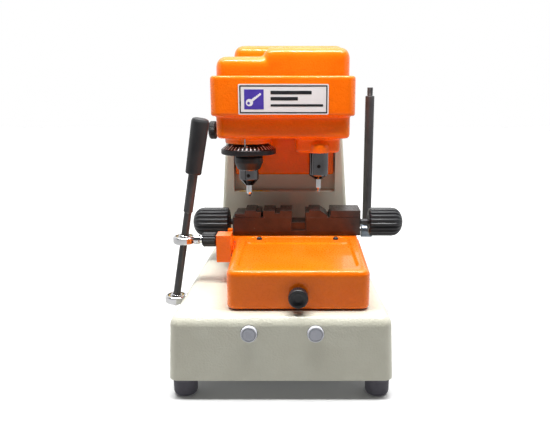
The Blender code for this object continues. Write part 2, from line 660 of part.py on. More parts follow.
def make_tracer():
    taper = 179.0
    profile = [(0, 282), (TRACER_R, 282), (TRACER_R, 198), (11.6, 197.4), (11.6, 186.2),
               (10.9, 185.4), (5.2, taper), (3.8, taper), (3.8, 208), (0, 208)]
    spindle = turned("tracer_spindle", profile, (-SPINDLE_X, 0, 0), "tracer", "blackened", steps=16)
    cut(spindle, hole(2.1, (-SPINDLE_X, -9, 191.5), 12, "tracer", turn=ALONG_Y, sides=12))
    pin = [(0, 207), (3.5, 207), (3.5, 168.4), (1.0, TRACER_TIP), (0, TRACER_TIP)]
    turned("tracer_pin", pin, (-SPINDLE_X, 0, 0), "tracer", "chrome")
    bore = TRACER_R + 0.4
    dial = [(bore, DIAL_TOP), (24.0, DIAL_TOP), (DIAL_R - 0.6, DIAL_RIM + 0.5), (DIAL_R, DIAL_RIM),
            (DIAL_R, DIAL_LOW + 0.5), (DIAL_R - 0.6, DIAL_LOW), (19.0, 214.6), (bore, 214.6)]
    turned("depth_dial", dial, (-SPINDLE_X, 0, 0), "dial", "black", ring=True, steps=24)
    sleeve = [(bore, 214.2), (15.6, 214.2), (16.8, 212.4), (17.0, 211.4), (17.0, 206.5),
              (16.2, 204.5), (13.4, 198.4), (bore, 198.4)]
    turned("dial_sleeve", sleeve, (-SPINDLE_X, 0, 0), "dial", "black", ring=True, steps=20)
    knob = [(0, -88.2), (6.0, -88.2), (9.6, -87.0), (10.5, -85.4), (10.5, -80.2), (9.8, -79.2),
            (4.0, -79.2), (4.0, -55.5), (0, -55.5)]
    upside = [(r, -x) for r, x in knob]
    turned("tracer_lock_knob", upside, (0, 0, 244.4), "tracer_lock", "black",
           (0, math.radians(-90), 0), steps=20)


# ---------------------------------------------------------------- cross slides

def make_slides():
    rails = block("depth_rails", (Y_RAIL_X[0], -118, BASE_TOP + GAP), (Y_RAIL_X[1], -110, 87.9),
                  finish="steel")
    for x in Y_RAIL_X:
        join(rails, pocket((x - 4.5, -120, BASE_TOP + GAP), (x + 4.5, 40, 93.3)))
    table = block("depth_slide", (TABLE_X[0], TABLE_Y[0], TABLE_Z[0]),
                  (TABLE_X[1], TABLE_Y[1], TABLE_Z[1]), "depth_slide", "aluminium")
    for x in Y_RAIL_X:
        cut(table, pocket((x - 5, TABLE_Y[0] - 1, 87), (x + 5, TABLE_Y[1] + 1, 93.7), "depth_slide"))
    for y in X_RAIL_Y:
        join(table, pocket((TABLE_X[0], y - 4.5, 98), (TABLE_X[1], y + 4.5, 104.3), "depth_slide"))


def make_carriage():
    body = "carriage"
    carriage = block("carriage_casting", (-62.0, -29.4, CARRIAGE_LOW), (88, 26, CARRIAGE_TOP), body,
                     "orange", sides=3)
    join(carriage, pocket((-45, -92, CARRIAGE_LOW + 0.1), (79, -20, CARRIAGE_TOP - 0.2), body))
    join(carriage, pocket((ARM_LEFT, -88, 108), (-62.9, -66, ARM_TOP), body, sides=1.5, top=1.5))
    join(carriage, pocket((ARM_LEFT + 0.2, -70, 108.2), (-63.1, -14.2, 117.5), body))
    join(carriage, pocket((-65.7, -28.5, 110), (-60.5, -20, 130), body))
    join(carriage, pocket((ARM_LEFT + 0.05, -88.05, 108.05), (-55.8, -68, ARM_TOP - 0.05), body))
    join(carriage, pocket((ARM_LEFT + 0.1, -29.3, CARRIAGE_LOW + 0.1), (-58, -14.1, 112), body))
    for y in X_RAIL_Y:
        cut(carriage, pocket((-90, y - 5, 99), (95, y + 5, 104.7), body))
    cut(carriage, hole(4.4, (-67, LEVER_Y, HIGH_BALL[2]), 16, body, turn=ALONG_X, sides=16))
    for x in TRAY_SCREW_X:
        cut(carriage, hole(1.9, (x, TRAY_SCREW_Y, 116), 14, body, sides=12))


def tray_block(inset, low, high, past=0.0):
    def corner(sx, sy, sz):
        half = TRAY_HALF_FRONT if sy < 0 else TRAY_HALF_BACK
        y = TRAY_FRONT + inset if sy < 0 else TRAY_BACK + past
        return (TRAY_X + sx * (half - inset), y, low if sz < 0 else high)
    return shaped_block(corner)


def make_tray():
    body = "carriage"
    bm = tray_block(0.0, TRAY_LOW, TRAY_TOP)
    round_edges(bm, 7.0, 2, upright)
    level = TRAY_TOP * MM * 0.999
    round_edges(bm, 4.0, 2, lambda e: min(v.co.z for v in e.verts) > level)
    mesh = to_mesh("tray_cover", bm, True)
    tray = add_object("tray_cover", mesh, (0, 0, 0), body, "orange")
    inner = tray_block(TRAY_WALL, TRAY_LOW - 1, TRAY_ROOF, past=0.5)
    cut(tray, add_object("hollow", to_mesh("hollow", inner), (0, 0, 0), body, None))
    cut(tray, pocket((-42.5, -154, 120.9), (75.5, -34, 130), body, sides=8))
    join(tray, pocket((-39.5, -61, 119.5), (72.5, -36.5, 122.4), body, sides=6))
    cut(tray, hole(2.7, (TRAY_X, TRAY_FRONT, 99), 20, body, turn=ALONG_Y, sides=12))
    for x in TRAY_SCREW_X:
        cut(tray, hole(2.9, (x, TRAY_SCREW_Y, 120), 14, body, sides=16))
    knob = [(0, 12.6), (4.0, 12.6), (6.5, 13.6), (8.0, 14.0), (9.0, 13.4), (9.5, 12.2),
            (9.5, 5.0), (8.6, 4.0), (2.4, 4.0), (2.4, -12.0), (0, -12.0)]
    turned("tray_lock_knob", knob, (TRAY_X, TRAY_FRONT + 3.4, 99), "tray_lock", "black", ALONG_Y,
           steps=20)


# ---------------------------------------------------------------- vises

def xz_extruded(name, outline, front, back, body, finish=None):
    """An outline in (x, z) thickened along Y, as a mesh."""
    obj = extruded(name, [outline], back - front, (0, (front + back) / 2, 0), body, finish, ALONG_Y)
    return as_mesh(obj)


def stepped(low, steps):
    """Outline of a stepped top: (x_start, x_end, height) for each step, above `low`."""
    points = [(steps[0][0], low)]
    for start, end, height in steps:
        points += [(start, height), (end, height)]
    points.append((steps[-1][1], low))
    return points


def make_vises():
    body = "carriage"
    vise = block("vise_body", (-61.5, -10, 118.3), (92.5, 22, 125.0), body, "blackened")
    join(vise, pocket((9, -8, 120), (27, 20, 134), body))
    make_vise(vise, "left", LEFT_VISE, LEFT_JAW_STEPS, LEFT_FIXED_STEPS, -1)
    make_vise(vise, "right", RIGHT_VISE, RIGHT_JAW_STEPS, RIGHT_FIXED_STEPS, 1)


def make_vise(vise, side, span, jaw_steps, fixed_steps, outward):
    """One end of the vise body with its fixed jaw, its moving jaw and its screw."""
    outer, inner = (span[0], span[1]) if outward < 0 else (span[1], span[0])
    join(vise, pocket((span[0], VISE_FRONT, VISE_LOW), (span[1], VISE_BACK, VISE_TOP), "carriage",
                      sides=1.0, segments=1))
    channel = sorted((outer - outward * 3.5, inner + outward * 30))
    cut(vise, pocket((channel[0], VISE_Y - 9, 125.6), (channel[1], VISE_Y + 9, 142), "carriage"))
    cut(vise, hole(VISE_SCREW_R + 0.4, (outer, VISE_Y, VISE_AXIS_Z), 20, "carriage", turn=ALONG_X))
    join(vise, xz_extruded(side + "_fixed_jaw", stepped(VISE_TOP - 2, fixed_steps),
                           VISE_FRONT + 0.1, VISE_BACK - 0.1, "carriage"))
    jaw = xz_extruded(side + "_moving_jaw", stepped(JAW_LOW, jaw_steps), VISE_FRONT, VISE_BACK,
                      side + "_jaw", "blackened")
    middle = outer - outward * 19.5
    join(jaw, pocket((middle - 8, VISE_Y - 8.6, 126), (middle + 8, VISE_Y + 8.6, 142), side + "_jaw"))
    cut(jaw, hole(VISE_SCREW_R + 0.4, (middle, VISE_Y, VISE_AXIS_Z), 30, side + "_jaw", turn=ALONG_X))
    make_vise_knob(side, outer + outward * (5.3 if outward < 0 else 11.5), inner + outward * 32,
                   outward)


def make_vise_knob(side, face, screw_end, outward):
    """A fluted knob moulded on its steel screw, which runs inward from the knob's face."""
    length = 44.8 if outward < 0 else 42.0
    reach = abs(face - screw_end)
    profile = [(0, length), (10.5, length - 1.4), (15.5, length - 5.0), (KNOB_R, length - 9.5),
               (KNOB_R, 1.0), (16.5, 0), (VISE_SCREW_R, 0), (VISE_SCREW_R, -reach), (0, -reach)]
    turn = (0, math.radians(90 * outward), 0)
    knob = turned(side + "_vise_knob", profile, (face, VISE_Y, VISE_AXIS_Z), side + "_vise_screw",
                  "black", turn, steps=3 * KNOB_FLUTES)
    flute(knob, KNOB_FLUTES, KNOB_FLUTE_DEEP, 1.0, length - 8)


# ---------------------------------------------------------------- hand lever

def zone(radius, half, count):
    """Profile points on a sphere between heights +half and -half, going down."""
    top = math.asin(half / radius)
    turns = [top - 2 * top * i / count for i in range(count + 1)]
    return [(radius * math.cos(t), radius * math.sin(t)) for t in turns]


def make_rod_end(prefix, at, frame_body, race_body, ball_body, shank, bore):
    ring = [(RING_OUT - 0.8, RING_HALF), (RING_OUT, RING_HALF - 0.8), (RING_OUT, 0.8 - RING_HALF),
            (RING_OUT - 0.8, -RING_HALF)] + zone(RING_IN, RING_HALF, 4)[::-1]
    housing = turned(prefix + "_rod_end", ring, at, frame_body, "chrome", ring=True, steps=16)
    start = at[0] + RING_OUT - 1.0
    join(housing, cylinder("shank", 4.0, shank - start, ((start + shank) / 2, at[1], at[2]),
                           frame_body, turn=ALONG_X, sides=16))
    race = zone(RACE_OUT, RACE_HALF, 4) + zone(RACE_IN, RACE_HALF, 4)[::-1]
    turned(prefix + "_race", race, at, race_body, "bronze", ring=True, steps=16)
    ball = zone(BALL_R, BALL_HALF, 6) + [(bore, -BALL_HALF), (bore, BALL_HALF)]
    turned(prefix + "_ball", ball, at, ball_body, "chrome", ring=True, steps=16)


def make_lever():
    make_rod_end("lower", LOW_BALL, "frame", "lower_race", "lever", -95.0, LEVER_R + GAP)
    make_rod_end("upper", HIGH_BALL, "carriage", "upper_race", "upper_ball", -61.0, UPPER_BORE)
    rod = [(0, LEVER_TOP), (4.4, LEVER_TOP), (LEVER_R_HIGH, LEVER_TOP - 0.6),
           (LEVER_R_HIGH, LEVER_COLLAR), (LEVER_R, LEVER_COLLAR - 1.0), (LEVER_R, -5.4),
           (3.4, -6.0), (0, -6.0)]
    turned("lever_rod", rod, LOW_BALL, "lever", "blackened")
    grip = [(0, GRIP_TOP), (5.5, GRIP_TOP), (8.4, GRIP_TOP - 1.2), (9.4, GRIP_TOP - 3.6),
            (8.5, GRIP_LOW + 1.2), (7.4, GRIP_LOW), (LEVER_R_HIGH + GAP, GRIP_LOW),
            (LEVER_R_HIGH + GAP, LEVER_TOP + 1), (0, LEVER_TOP + 1)]
    turned("lever_grip", grip, LOW_BALL, "lever", "black")
    outline = []
    for i in range(36):
        angle = math.tau * i / 36
        radius = 8.0 - (0.6 if i % 3 == 0 else 0.0)
        outline.append((radius * math.cos(angle), radius * math.sin(angle)))
    extruded("lever_jam_nut", [outline, circle(0, 0, 4.3, 16)], 15.6,
             (-79.8, LEVER_Y, HIGH_BALL[2]), "carriage", "black", ALONG_X)


# ---------------------------------------------------------------- assembly

def make_bodies():
    middle = [-(a + b) / 2 for a, b in (BOX_X, BOX_Y)]
    machine = bpy.data.objects.new("machine", None)
    PARTS.objects.link(machine)
    machine.location = Vector((*middle, 0)) * MM
    BODIES["frame"] = (machine, Vector((0, 0, 0)))
    add_body("left_button", (BUTTON_X[0], BUTTON_FRONT, BUTTON_Z), "frame")
    add_body("right_button", (BUTTON_X[1], BUTTON_FRONT, BUTTON_Z), "frame")
    add_body("feed_lever", (0, SHAFT_Y, SHAFT_Z), "frame")
    add_body("springs", (0, GUIDE_Y, 128.5), "frame")
    add_body("head", (0, 0, HEAD_LOW), "frame")
    add_body("motor", (0, MOTOR_Y, HEAD_RIM), "head")
    add_body("cutter", (SPINDLE_X, 0, HEAD_LOW), "head")
    add_body("dial", (-SPINDLE_X, 0, DIAL_LOW), "head")
    add_body("tracer", (-SPINDLE_X, 0, DIAL_LOW), "head")
    add_body("tracer_lock", (-80, 0, 244.4), "head")
    add_body("depth_slide", (0, 0, BASE_TOP), "frame")
    add_body("carriage", (TRAY_X, 0, CARRIAGE_LOW), "depth_slide")
    add_body("tray_lock", (TRAY_X, TRAY_FRONT, 99), "carriage")
    add_body("left_jaw", (-40, VISE_Y, VISE_TOP), "carriage")
    add_body("right_jaw", (73, VISE_Y, VISE_TOP), "carriage")
    add_body("left_vise_screw", (-70, VISE_Y, VISE_AXIS_Z), "carriage")
    add_body("right_vise_screw", (100, VISE_Y, VISE_AXIS_Z), "carriage")
    add_body("lower_race", LOW_BALL, "frame")
    add_body("lever", LOW_BALL, "lower_race", LEVER_TILT)
    add_body("upper_race", HIGH_BALL, "carriage")
    add_body("upper_ball", HIGH_BALL, "upper_race", LEVER_TILT)


clear_scene()
PARTS = new_collection("key_duplicating_machine")
CUTTERS = new_collection("cutters")
make_bodies()
make_base()
make_underside()
make_buttons()
make_inlet()
make_rear_cover(make_column())
make_feed_drive()
make_guides()
make_slide_block()
make_head()
make_cover()
make_motor()
make_belt()
make_cutter()
make_tracer()
make_slides()
make_carriage()
make_tray()
make_vises()
make_lever()
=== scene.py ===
"""Looks of the key duplicating machine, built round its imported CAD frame."""

import math
import random

import bmesh
import bpy
from mathutils import Matrix, Vector


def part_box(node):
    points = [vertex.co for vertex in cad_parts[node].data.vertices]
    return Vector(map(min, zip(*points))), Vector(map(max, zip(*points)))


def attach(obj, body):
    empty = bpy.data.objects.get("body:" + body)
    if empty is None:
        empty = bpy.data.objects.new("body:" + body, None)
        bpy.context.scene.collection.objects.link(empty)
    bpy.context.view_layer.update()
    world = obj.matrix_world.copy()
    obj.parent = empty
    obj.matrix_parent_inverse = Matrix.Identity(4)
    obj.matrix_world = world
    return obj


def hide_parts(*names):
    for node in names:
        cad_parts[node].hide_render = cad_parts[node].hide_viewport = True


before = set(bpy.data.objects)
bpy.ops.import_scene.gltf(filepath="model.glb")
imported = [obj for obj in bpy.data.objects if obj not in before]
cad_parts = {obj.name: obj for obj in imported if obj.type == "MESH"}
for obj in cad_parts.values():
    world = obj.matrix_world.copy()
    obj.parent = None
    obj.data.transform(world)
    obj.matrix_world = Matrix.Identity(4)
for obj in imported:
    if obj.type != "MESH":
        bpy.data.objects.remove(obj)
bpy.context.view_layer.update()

MM = 0.001

# Shapes below are in the machine's own millimetres: X = 0 is the middle of its guide
# frame, Y = 0 is the plane of its two spindles and Z = 0 is the bench top.
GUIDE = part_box("guide_frame")
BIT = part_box("cutter_bit")
ORIGIN = Vector(((GUIDE[0].x + GUIDE[1].x) / 2, (BIT[0].y + BIT[1].y) / 2, 0.0))


def own(node):
    """A CAD node's box in the machine's own millimetres."""
    low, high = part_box(node)
    return (low - ORIGIN) / MM, (high - ORIGIN) / MM


def middle(node):
    low, high = own(node)
    return (low + high) / 2


# ---- materials

def shader_tree(name):
    """A new material with its tree, its shader and its object coordinates."""
    material = bpy.data.materials.new(name)
    material.use_nodes = True
    tree = material.node_tree
    coords = add(tree, "ShaderNodeTexCoord").outputs["Object"]
    return material, tree, tree.nodes["Principled BSDF"], coords


def add(tree, kind, **values):
    node = tree.nodes.new(kind)
    for key, value in values.items():
        if key in node.inputs:
            node.inputs[key].default_value = value
        else:
            setattr(node, key, value)
    return node


def noise(tree, coords, scale, detail=2.0, stretch=None):
    """A cloud of values about 0.5, stretched along an axis if asked."""
    source = coords
    if stretch:
        mapping = add(tree, "ShaderNodeMapping")
        mapping.inputs["Scale"].default_value = stretch
        tree.links.new(coords, mapping.inputs["Vector"])
        source = mapping.outputs["Vector"]
    node = add(tree, "ShaderNodeTexNoise", Scale=scale, Detail=detail)
    tree.links.new(source, node.inputs["Vector"])
    return node.outputs["Fac"]


def ramp(tree, source, low, high, start, end):
    """Maps source between low and high on to start and end, numbers or colours."""
    if isinstance(start, (int, float)):
        node = add(tree, "ShaderNodeMapRange")
        node.inputs["From Min"].default_value = low
        node.inputs["From Max"].default_value = high
        node.inputs["To Min"].default_value = start
        node.inputs["To Max"].default_value = end
        tree.links.new(source, node.inputs["Value"])
        return node.outputs["Result"]
    node = add(tree, "ShaderNodeValToRGB")
    node.color_ramp.elements[0].position = low
    node.color_ramp.elements[1].position = high
    node.color_ramp.elements[0].color = (*start, 1.0)
    node.color_ramp.elements[1].color = (*end, 1.0)
    tree.links.new(source, node.inputs["Fac"])
    return node.outputs["Color"]


def bumps(tree, shader, layers):
    """Bump layers of (height source, depth in metres), one feeding the next."""
    normal = None
    for source, depth in layers:
        node = add(tree, "ShaderNodeBump")
        node.inputs["Strength"].default_value = 1.0
        node.inputs["Distance"].default_value = depth
        tree.links.new(source, node.inputs["Height"])
        if normal:
            tree.links.new(normal, node.inputs["Normal"])
        normal = node.outputs["Normal"]
    tree.links.new(normal, shader.inputs["Normal"])


def enamel(name, colour, shade, roughness, coat, peel, tint=(1, 1, 1)):
    """Thick stoved paint with an orange-peel skin over a cast surface."""
    material, tree, shader, coords = shader_tree(name)
    cloud = noise(tree, coords, 28.0, 3.0)
    tree.links.new(ramp(tree, cloud, 0.35, 0.65, shade, colour), shader.inputs["Base Color"])
    skin = noise(tree, coords, 560.0, 1.0)
    grain = noise(tree, coords, 1300.0, 1.0)
    swell = noise(tree, coords, 60.0, 1.0)
    bumps(tree, shader, [(swell, 0.0004), (skin, 0.00035 * peel), (grain, 0.00006 * peel)])
    tree.links.new(ramp(tree, skin, 0.3, 0.7, roughness - 0.05, roughness + 0.08),
                   shader.inputs["Roughness"])
    shader.inputs["Coat Weight"].default_value = coat
    shader.inputs["Coat Roughness"].default_value = 0.06
    shader.inputs["Specular IOR Level"].default_value = 0.35
    shader.inputs["Specular Tint"].default_value = (*tint, 1.0)
    return material


def plastic(name, colour, shade, roughness, grain_scale=1800.0, grain_depth=0.00003):
    material, tree, shader, coords = shader_tree(name)
    cloud = noise(tree, coords, 90.0, 3.0)
    tree.links.new(ramp(tree, cloud, 0.35, 0.65, shade, colour), shader.inputs["Base Color"])
    tree.links.new(ramp(tree, cloud, 0.3, 0.7, roughness - 0.06, roughness + 0.08),
                   shader.inputs["Roughness"])
    bumps(tree, shader, [(noise(tree, coords, grain_scale, 2.0), grain_depth)])
    return material


def metal(name, colour, shade, roughness, stretch=(1, 1, 1), scale=900.0, depth=0.000012,
          metallic=1.0):
    """Machined metal: fine streaks along the axis that is stretched least."""
    material, tree, shader, coords = shader_tree(name)
    streaks = noise(tree, coords, scale, 3.0, stretch)
    cloud = noise(tree, coords, 70.0, 3.0)
    tree.links.new(ramp(tree, cloud, 0.3, 0.7, shade, colour), shader.inputs["Base Color"])
    tree.links.new(ramp(tree, streaks, 0.3, 0.7, roughness * 0.75, roughness * 1.3),
                   shader.inputs["Roughness"])
    bumps(tree, shader, [(streaks, depth)])
    shader.inputs["Metallic"].default_value = metallic
    return material


ORANGE = enamel("orange_enamel", (1.0, 0.185, 0.004), (0.96, 0.160, 0.002), 0.28, 0.6, 1.0,
                (1.0, 0.42, 0.08))
CREAM = enamel("cream_enamel", (0.70, 0.69, 0.575), (0.66, 0.645, 0.53), 0.38, 0.3, 1.2)
CREAM_SHEET = enamel("cream_sheet_paint", (0.64, 0.635, 0.54), (0.60, 0.59, 0.50), 0.38, 0.2,
                     0.8)
BLACK = plastic("black_moulding", (0.016, 0.017, 0.020), (0.010, 0.011, 0.013), 0.38)
GRIP = plastic("black_grip", (0.022, 0.022, 0.024), (0.014, 0.014, 0.016), 0.46, 1100.0,
               0.00006)
RUBBER = plastic("grey_rubber", (0.100, 0.095, 0.118), (0.076, 0.072, 0.092), 0.62, 900.0,
                 0.00008)
BELT = plastic("belt_rubber", (0.020, 0.020, 0.021), (0.012, 0.012, 0.013), 0.7, 700.0, 0.00008)
BUTTON = plastic("button_lavender", (0.53, 0.545, 0.61), (0.49, 0.505, 0.57), 0.30)
# The rim's light colour is a painted highlight along the button's rim.
RIM_HIGHLIGHT = plastic("button_rim", (0.70, 0.71, 0.76), (0.64, 0.65, 0.71), 0.25)
WHITE = plastic("white_fill", (0.86, 0.86, 0.85), (0.78, 0.78, 0.77), 0.45)
INK = plastic("dark_print", (0.012, 0.014, 0.018), (0.010, 0.011, 0.014), 0.4)
VIOLET = plastic("violet_print", (0.075, 0.045, 0.40), (0.060, 0.036, 0.34), 0.35)
PRINT_WHITE = plastic("white_print", (0.80, 0.81, 0.84), (0.74, 0.75, 0.79), 0.35)
# A yellow colour for the line along the sill of the column's front recess.
SILL_YELLOW = plastic("sill_yellow", (0.80, 0.52, 0.02), (0.62, 0.38, 0.01), 0.25, 500.0, 0.0001)
PLATE = metal("plate_aluminium", (0.86, 0.86, 0.87), (0.82, 0.82, 0.83), 0.42, (0.05, 1, 1),
              1500.0,
              0.000006, 0.15)
BLACKENED = metal("blackened_steel", (0.095, 0.080, 0.074), (0.066, 0.057, 0.054), 0.36,
                  (1, 0.2, 1),
                  700.0, 0.000008, 0.8)
BLACK_CHROME = metal("black_chrome", (0.20, 0.195, 0.20), (0.16, 0.155, 0.16), 0.08,
                     (1, 1, 0.08),
                     1500.0, 0.000004)
ROD_BLACK = metal("black_oxide_rod", (0.070, 0.070, 0.073), (0.050, 0.050, 0.053), 0.38,
                  (1, 1, 0.06),
                  900.0, 0.00001, 0.2)
DIAL_BLACK = metal("black_anodised", (0.035, 0.034, 0.037), (0.024, 0.023, 0.026), 0.33,
                   (1, 1, 1),
                   1600.0, 0.000006, 0.45)
STEEL = metal("ground_steel", (0.60, 0.60, 0.61), (0.50, 0.50, 0.51), 0.30, (1, 0.1, 1))
HUB_STEEL = metal("grey_blue_steel", (0.26, 0.30, 0.35), (0.20, 0.235, 0.28), 0.34, (0.1, 1, 1))
ZINC = metal("zinc_plate", (0.62, 0.63, 0.62), (0.46, 0.47, 0.47), 0.42, (1, 1, 1), 160.0,
             0.00002)
CHROME = metal("polished_chrome", (0.78, 0.78, 0.79), (0.70, 0.70, 0.71), 0.10, (1, 1, 0.1),
               1800.0,
               0.000003)
ALUMINIUM = metal("machined_aluminium", (0.72, 0.72, 0.73), (0.62, 0.62, 0.63), 0.34,
                  (0.06, 1, 1))
BRONZE = metal("turned_bronze", (0.66, 0.42, 0.17), (0.52, 0.32, 0.12), 0.28, (1, 1, 0.2))
BRASS = metal("bright_brass", (0.80, 0.57, 0.22), (0.70, 0.47, 0.16), 0.18, (1, 1, 0.2))


# ---- shape helpers

def placed(name, data):
    """A new object in the scene."""
    obj = bpy.data.objects.new(name, data)
    bpy.context.scene.collection.objects.link(obj)
    return obj


def mesh_of(bm, name):
    mesh = bpy.data.meshes.new(name)
    bm.to_mesh(mesh)
    bm.free()
    return mesh


def transform(bm, matrix):
    bmesh.ops.transform(bm, matrix=matrix, verts=bm.verts)
    return bm


def piece(name, bm, body, material, nodes=(), sharp=35.0, weighted=True):
    """A shown piece from a form in the machine's own millimetres."""
    transform(bm, Matrix.Translation(ORIGIN) @ Matrix.Scale(MM, 4))
    mesh = mesh_of(bm, name)
    mesh.shade_smooth()
    mesh.set_sharp_from_angle(angle=math.radians(sharp))
    mesh.materials.append(material)
    obj = placed(name, mesh)
    if weighted:
        normals = obj.modifiers.new("Normals", "WEIGHTED_NORMAL")
        normals.keep_sharp = True
    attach(obj, body)
    if nodes:
        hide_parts(*nodes)
    return obj


def cube(corner):
    """A cube whose corners go where corner(sx, sy, sz) says."""
    bm = bmesh.new()
    bmesh.ops.create_cube(bm, size=2)
    for vert in bm.verts:
        vert.co = corner(*(round(c) for c in vert.co))
    return bm


def round_edges(bm, radius, wanted, segments):
    edges = [e for e in bm.edges if wanted(e)]
    bmesh.ops.bevel(bm, geom=edges, offset=radius, offset_type="OFFSET", segments=segments,
                    profile=0.5, affect="EDGES", clamp_overlap=True)


def upright(edge):
    a, b = edge.verts
    return abs(a.co.z - b.co.z) > 0.5 * edge.calc_length()


def rounded(bm, sides=0.0, top=0.0, bottom=0.0, segments=6):
    low = min(v.co.z for v in bm.verts)
    high = max(v.co.z for v in bm.verts)
    near = 0.001 * (high - low)
    if sides:
        round_edges(bm, sides, upright, segments)
    if top:
        round_edges(bm, top, lambda e: min(v.co.z for v in e.verts) > high - near, segments)
    if bottom:
        round_edges(bm, bottom, lambda e: max(v.co.z for v in e.verts) < low + near, segments)
    return bm


def slab(low, high, **rounding):
    size = [(b - a) / 2 for a, b in zip(low, high)]
    centre = [(b + a) / 2 for a, b in zip(low, high)]
    bm = cube(lambda *s: [c + k * h for c, k, h in zip(centre, s, size)])
    return rounded(bm, **rounding)


ALONG_X = Matrix.Rotation(math.radians(90), 4, "Y")
ALONG_MINUS_X = Matrix.Rotation(math.radians(-90), 4, "Y")
ALONG_MINUS_Y = Matrix.Rotation(math.radians(90), 4, "X")
ALONG_Y = Matrix.Rotation(math.radians(-90), 4, "X")
UPRIGHT = Matrix.Identity(4)


def soften(profile, radius, count=3):
    """The same open profile with its inner corners rounded."""
    if radius <= 0:
        return list(profile)
    result = [profile[0]]
    for before, here, after in zip(profile, profile[1:], profile[2:]):
        a, b, c = Vector(before), Vector(here), Vector(after)
        to_a, to_c = a - b, c - b
        if to_a.length < 1e-6 or to_c.length < 1e-6 or b.x < 1e-6:
            result.append(here)
            continue
        cut = min(radius, 0.45 * to_a.length, 0.45 * to_c.length)
        start, end = b + to_a.normalized() * cut, b + to_c.normalized() * cut
        for i in range(count + 1):
            t = i / count
            point = start * (1 - t) ** 2 + b * 2 * t * (1 - t) + end * t ** 2
            result.append((point.x, point.y))
    result.append(profile[-1])
    return result


def lathe(profile, at=(0, 0, 0), turn=UPRIGHT, steps=64, soft=0.4, ring=False, wave=None):
    """A profile of (radius, height) spun about Z; wave(angle, r, z) may change a radius."""
    points = soften(profile + profile[:2], soft)[1:-1] if ring else soften(profile, soft)
    bm = bmesh.new()
    rows = []
    for r, z in points:
        if r < 1e-6:
            rows.append([bm.verts.new((0, 0, z))])
            continue
        row = []
        for i in range(steps):
            angle = math.tau * i / steps
            radius = wave(angle, r, z) if wave else r
            row.append(bm.verts.new((radius * math.cos(angle), radius * math.sin(angle), z)))
        rows.append(row)
    pairs = list(zip(rows, rows[1:]))
    if ring:
        pairs.append((rows[-1], rows[0]))
    for one, two in pairs:
        for i in range(steps):
            corners = [one[i % len(one)], one[(i + 1) % len(one)],
                       two[(i + 1) % len(two)], two[i % len(two)]]
            unique = list(dict.fromkeys(corners))
            if len(unique) > 2:
                bm.faces.new(unique)
    bmesh.ops.recalc_face_normals(bm, faces=bm.faces)
    return transform(bm, Matrix.Translation(at) @ turn)


def prism(outline, thickness, at=(0, 0, 0), turn=UPRIGHT):
    """An outline in its own XY, thickened about its plane."""
    bm = bmesh.new()
    face = bm.faces.new([bm.verts.new((x, y, -thickness / 2)) for x, y in outline])
    grown = bmesh.ops.extrude_face_region(bm, geom=[face])
    for item in grown["geom"]:
        if isinstance(item, bmesh.types.BMVert):
            item.co.z += thickness
    bmesh.ops.recalc_face_normals(bm, faces=bm.faces)
    return transform(bm, Matrix.Translation(at) @ turn)


def rod(radius, length, at, turn=UPRIGHT, steps=32):
    return lathe([(0, length / 2), (radius, length / 2), (radius, -length / 2),
                  (0, -length / 2)],
                 at, turn, steps, soft=0.0)


def scratch(bm):
    return placed("scratch", mesh_of(bm, "scratch"))


def applied(obj):
    """The form of an object with its modifiers, after which the object is gone."""
    bpy.context.view_layer.update()
    evaluated = obj.evaluated_get(bpy.context.evaluated_depsgraph_get())
    mesh = bpy.data.meshes.new_from_object(evaluated)
    bm = bmesh.new()
    bm.from_mesh(mesh)
    bpy.data.meshes.remove(mesh)
    bpy.data.objects.remove(obj, do_unlink=True)
    return bm


def combine(base, joined=(), cut=(), solver="EXACT"):
    target = scratch(base)
    helpers = []
    for others, operation in ((joined, "UNION"), (cut, "DIFFERENCE")):
        for other in others:
            helper = scratch(other)
            helpers.append(helper)
            modifier = target.modifiers.new(operation.title(), "BOOLEAN")
            modifier.operation = operation
            modifier.solver = solver
            modifier.object = helper
    bm = applied(target)
    for helper in helpers:
        bpy.data.objects.remove(helper, do_unlink=True)
    return bm


def cast(bm, voxel=1.1, passes=6):
    """Melts the edges and inner corners of a form as sand casting and thick paint do."""
    obj = scratch(bm)
    remesh = obj.modifiers.new("Voxels", "REMESH")
    remesh.mode = "VOXEL"
    remesh.voxel_size = voxel
    smooth = obj.modifiers.new("Melt", "SMOOTH")
    smooth.factor = 0.5
    smooth.iterations = passes
    return applied(obj)


def arc(x, y, radius, start, end, count):
    turns = [math.radians(start + (end - start) * i / count) for i in range(count + 1)]
    return [(x + radius * math.cos(t), y + radius * math.sin(t)) for t in turns]


def merged(*forms):
    """Several separate forms in one mesh."""
    total = bmesh.new()
    for form in forms:
        mesh = mesh_of(form, "part")
        total.from_mesh(mesh)
        bpy.data.meshes.remove(mesh)
    return total


# ---- fasteners

def hex_outline(across):
    radius = across / math.sqrt(3)
    return [(radius * math.cos(math.radians(60 * i)), radius * math.sin(math.radians(60 * i)))
            for i in range(6)]


def socket_screw(name, at, turn, body, head=3.3, high=2.6, shank=1.7, reach=8.0,
                 material=BLACK_CHROME, style="button"):
    """A screw whose head's underside is at `at`, its head pointing along the turned Z."""
    if style == "button":
        profile = [(0, high), (head * 0.55, high), (head * 0.85, high * 0.72),
                   (head, high * 0.25),
                   (head, 0), (shank, 0), (shank, -reach), (0, -reach)]
    else:
        profile = [(0, high), (head, high), (head, 0), (shank, 0), (shank, -reach), (0, -reach)]
    form = lathe(profile, (0, 0, 0), UPRIGHT, 32, soft=0.35)
    socket = prism(hex_outline(head), high * 1.2, (0, 0, high))
    form = combine(form, cut=[socket])
    transform(form, Matrix.Translation(at) @ turn)
    return piece(name, form, body, material, sharp=30.0)


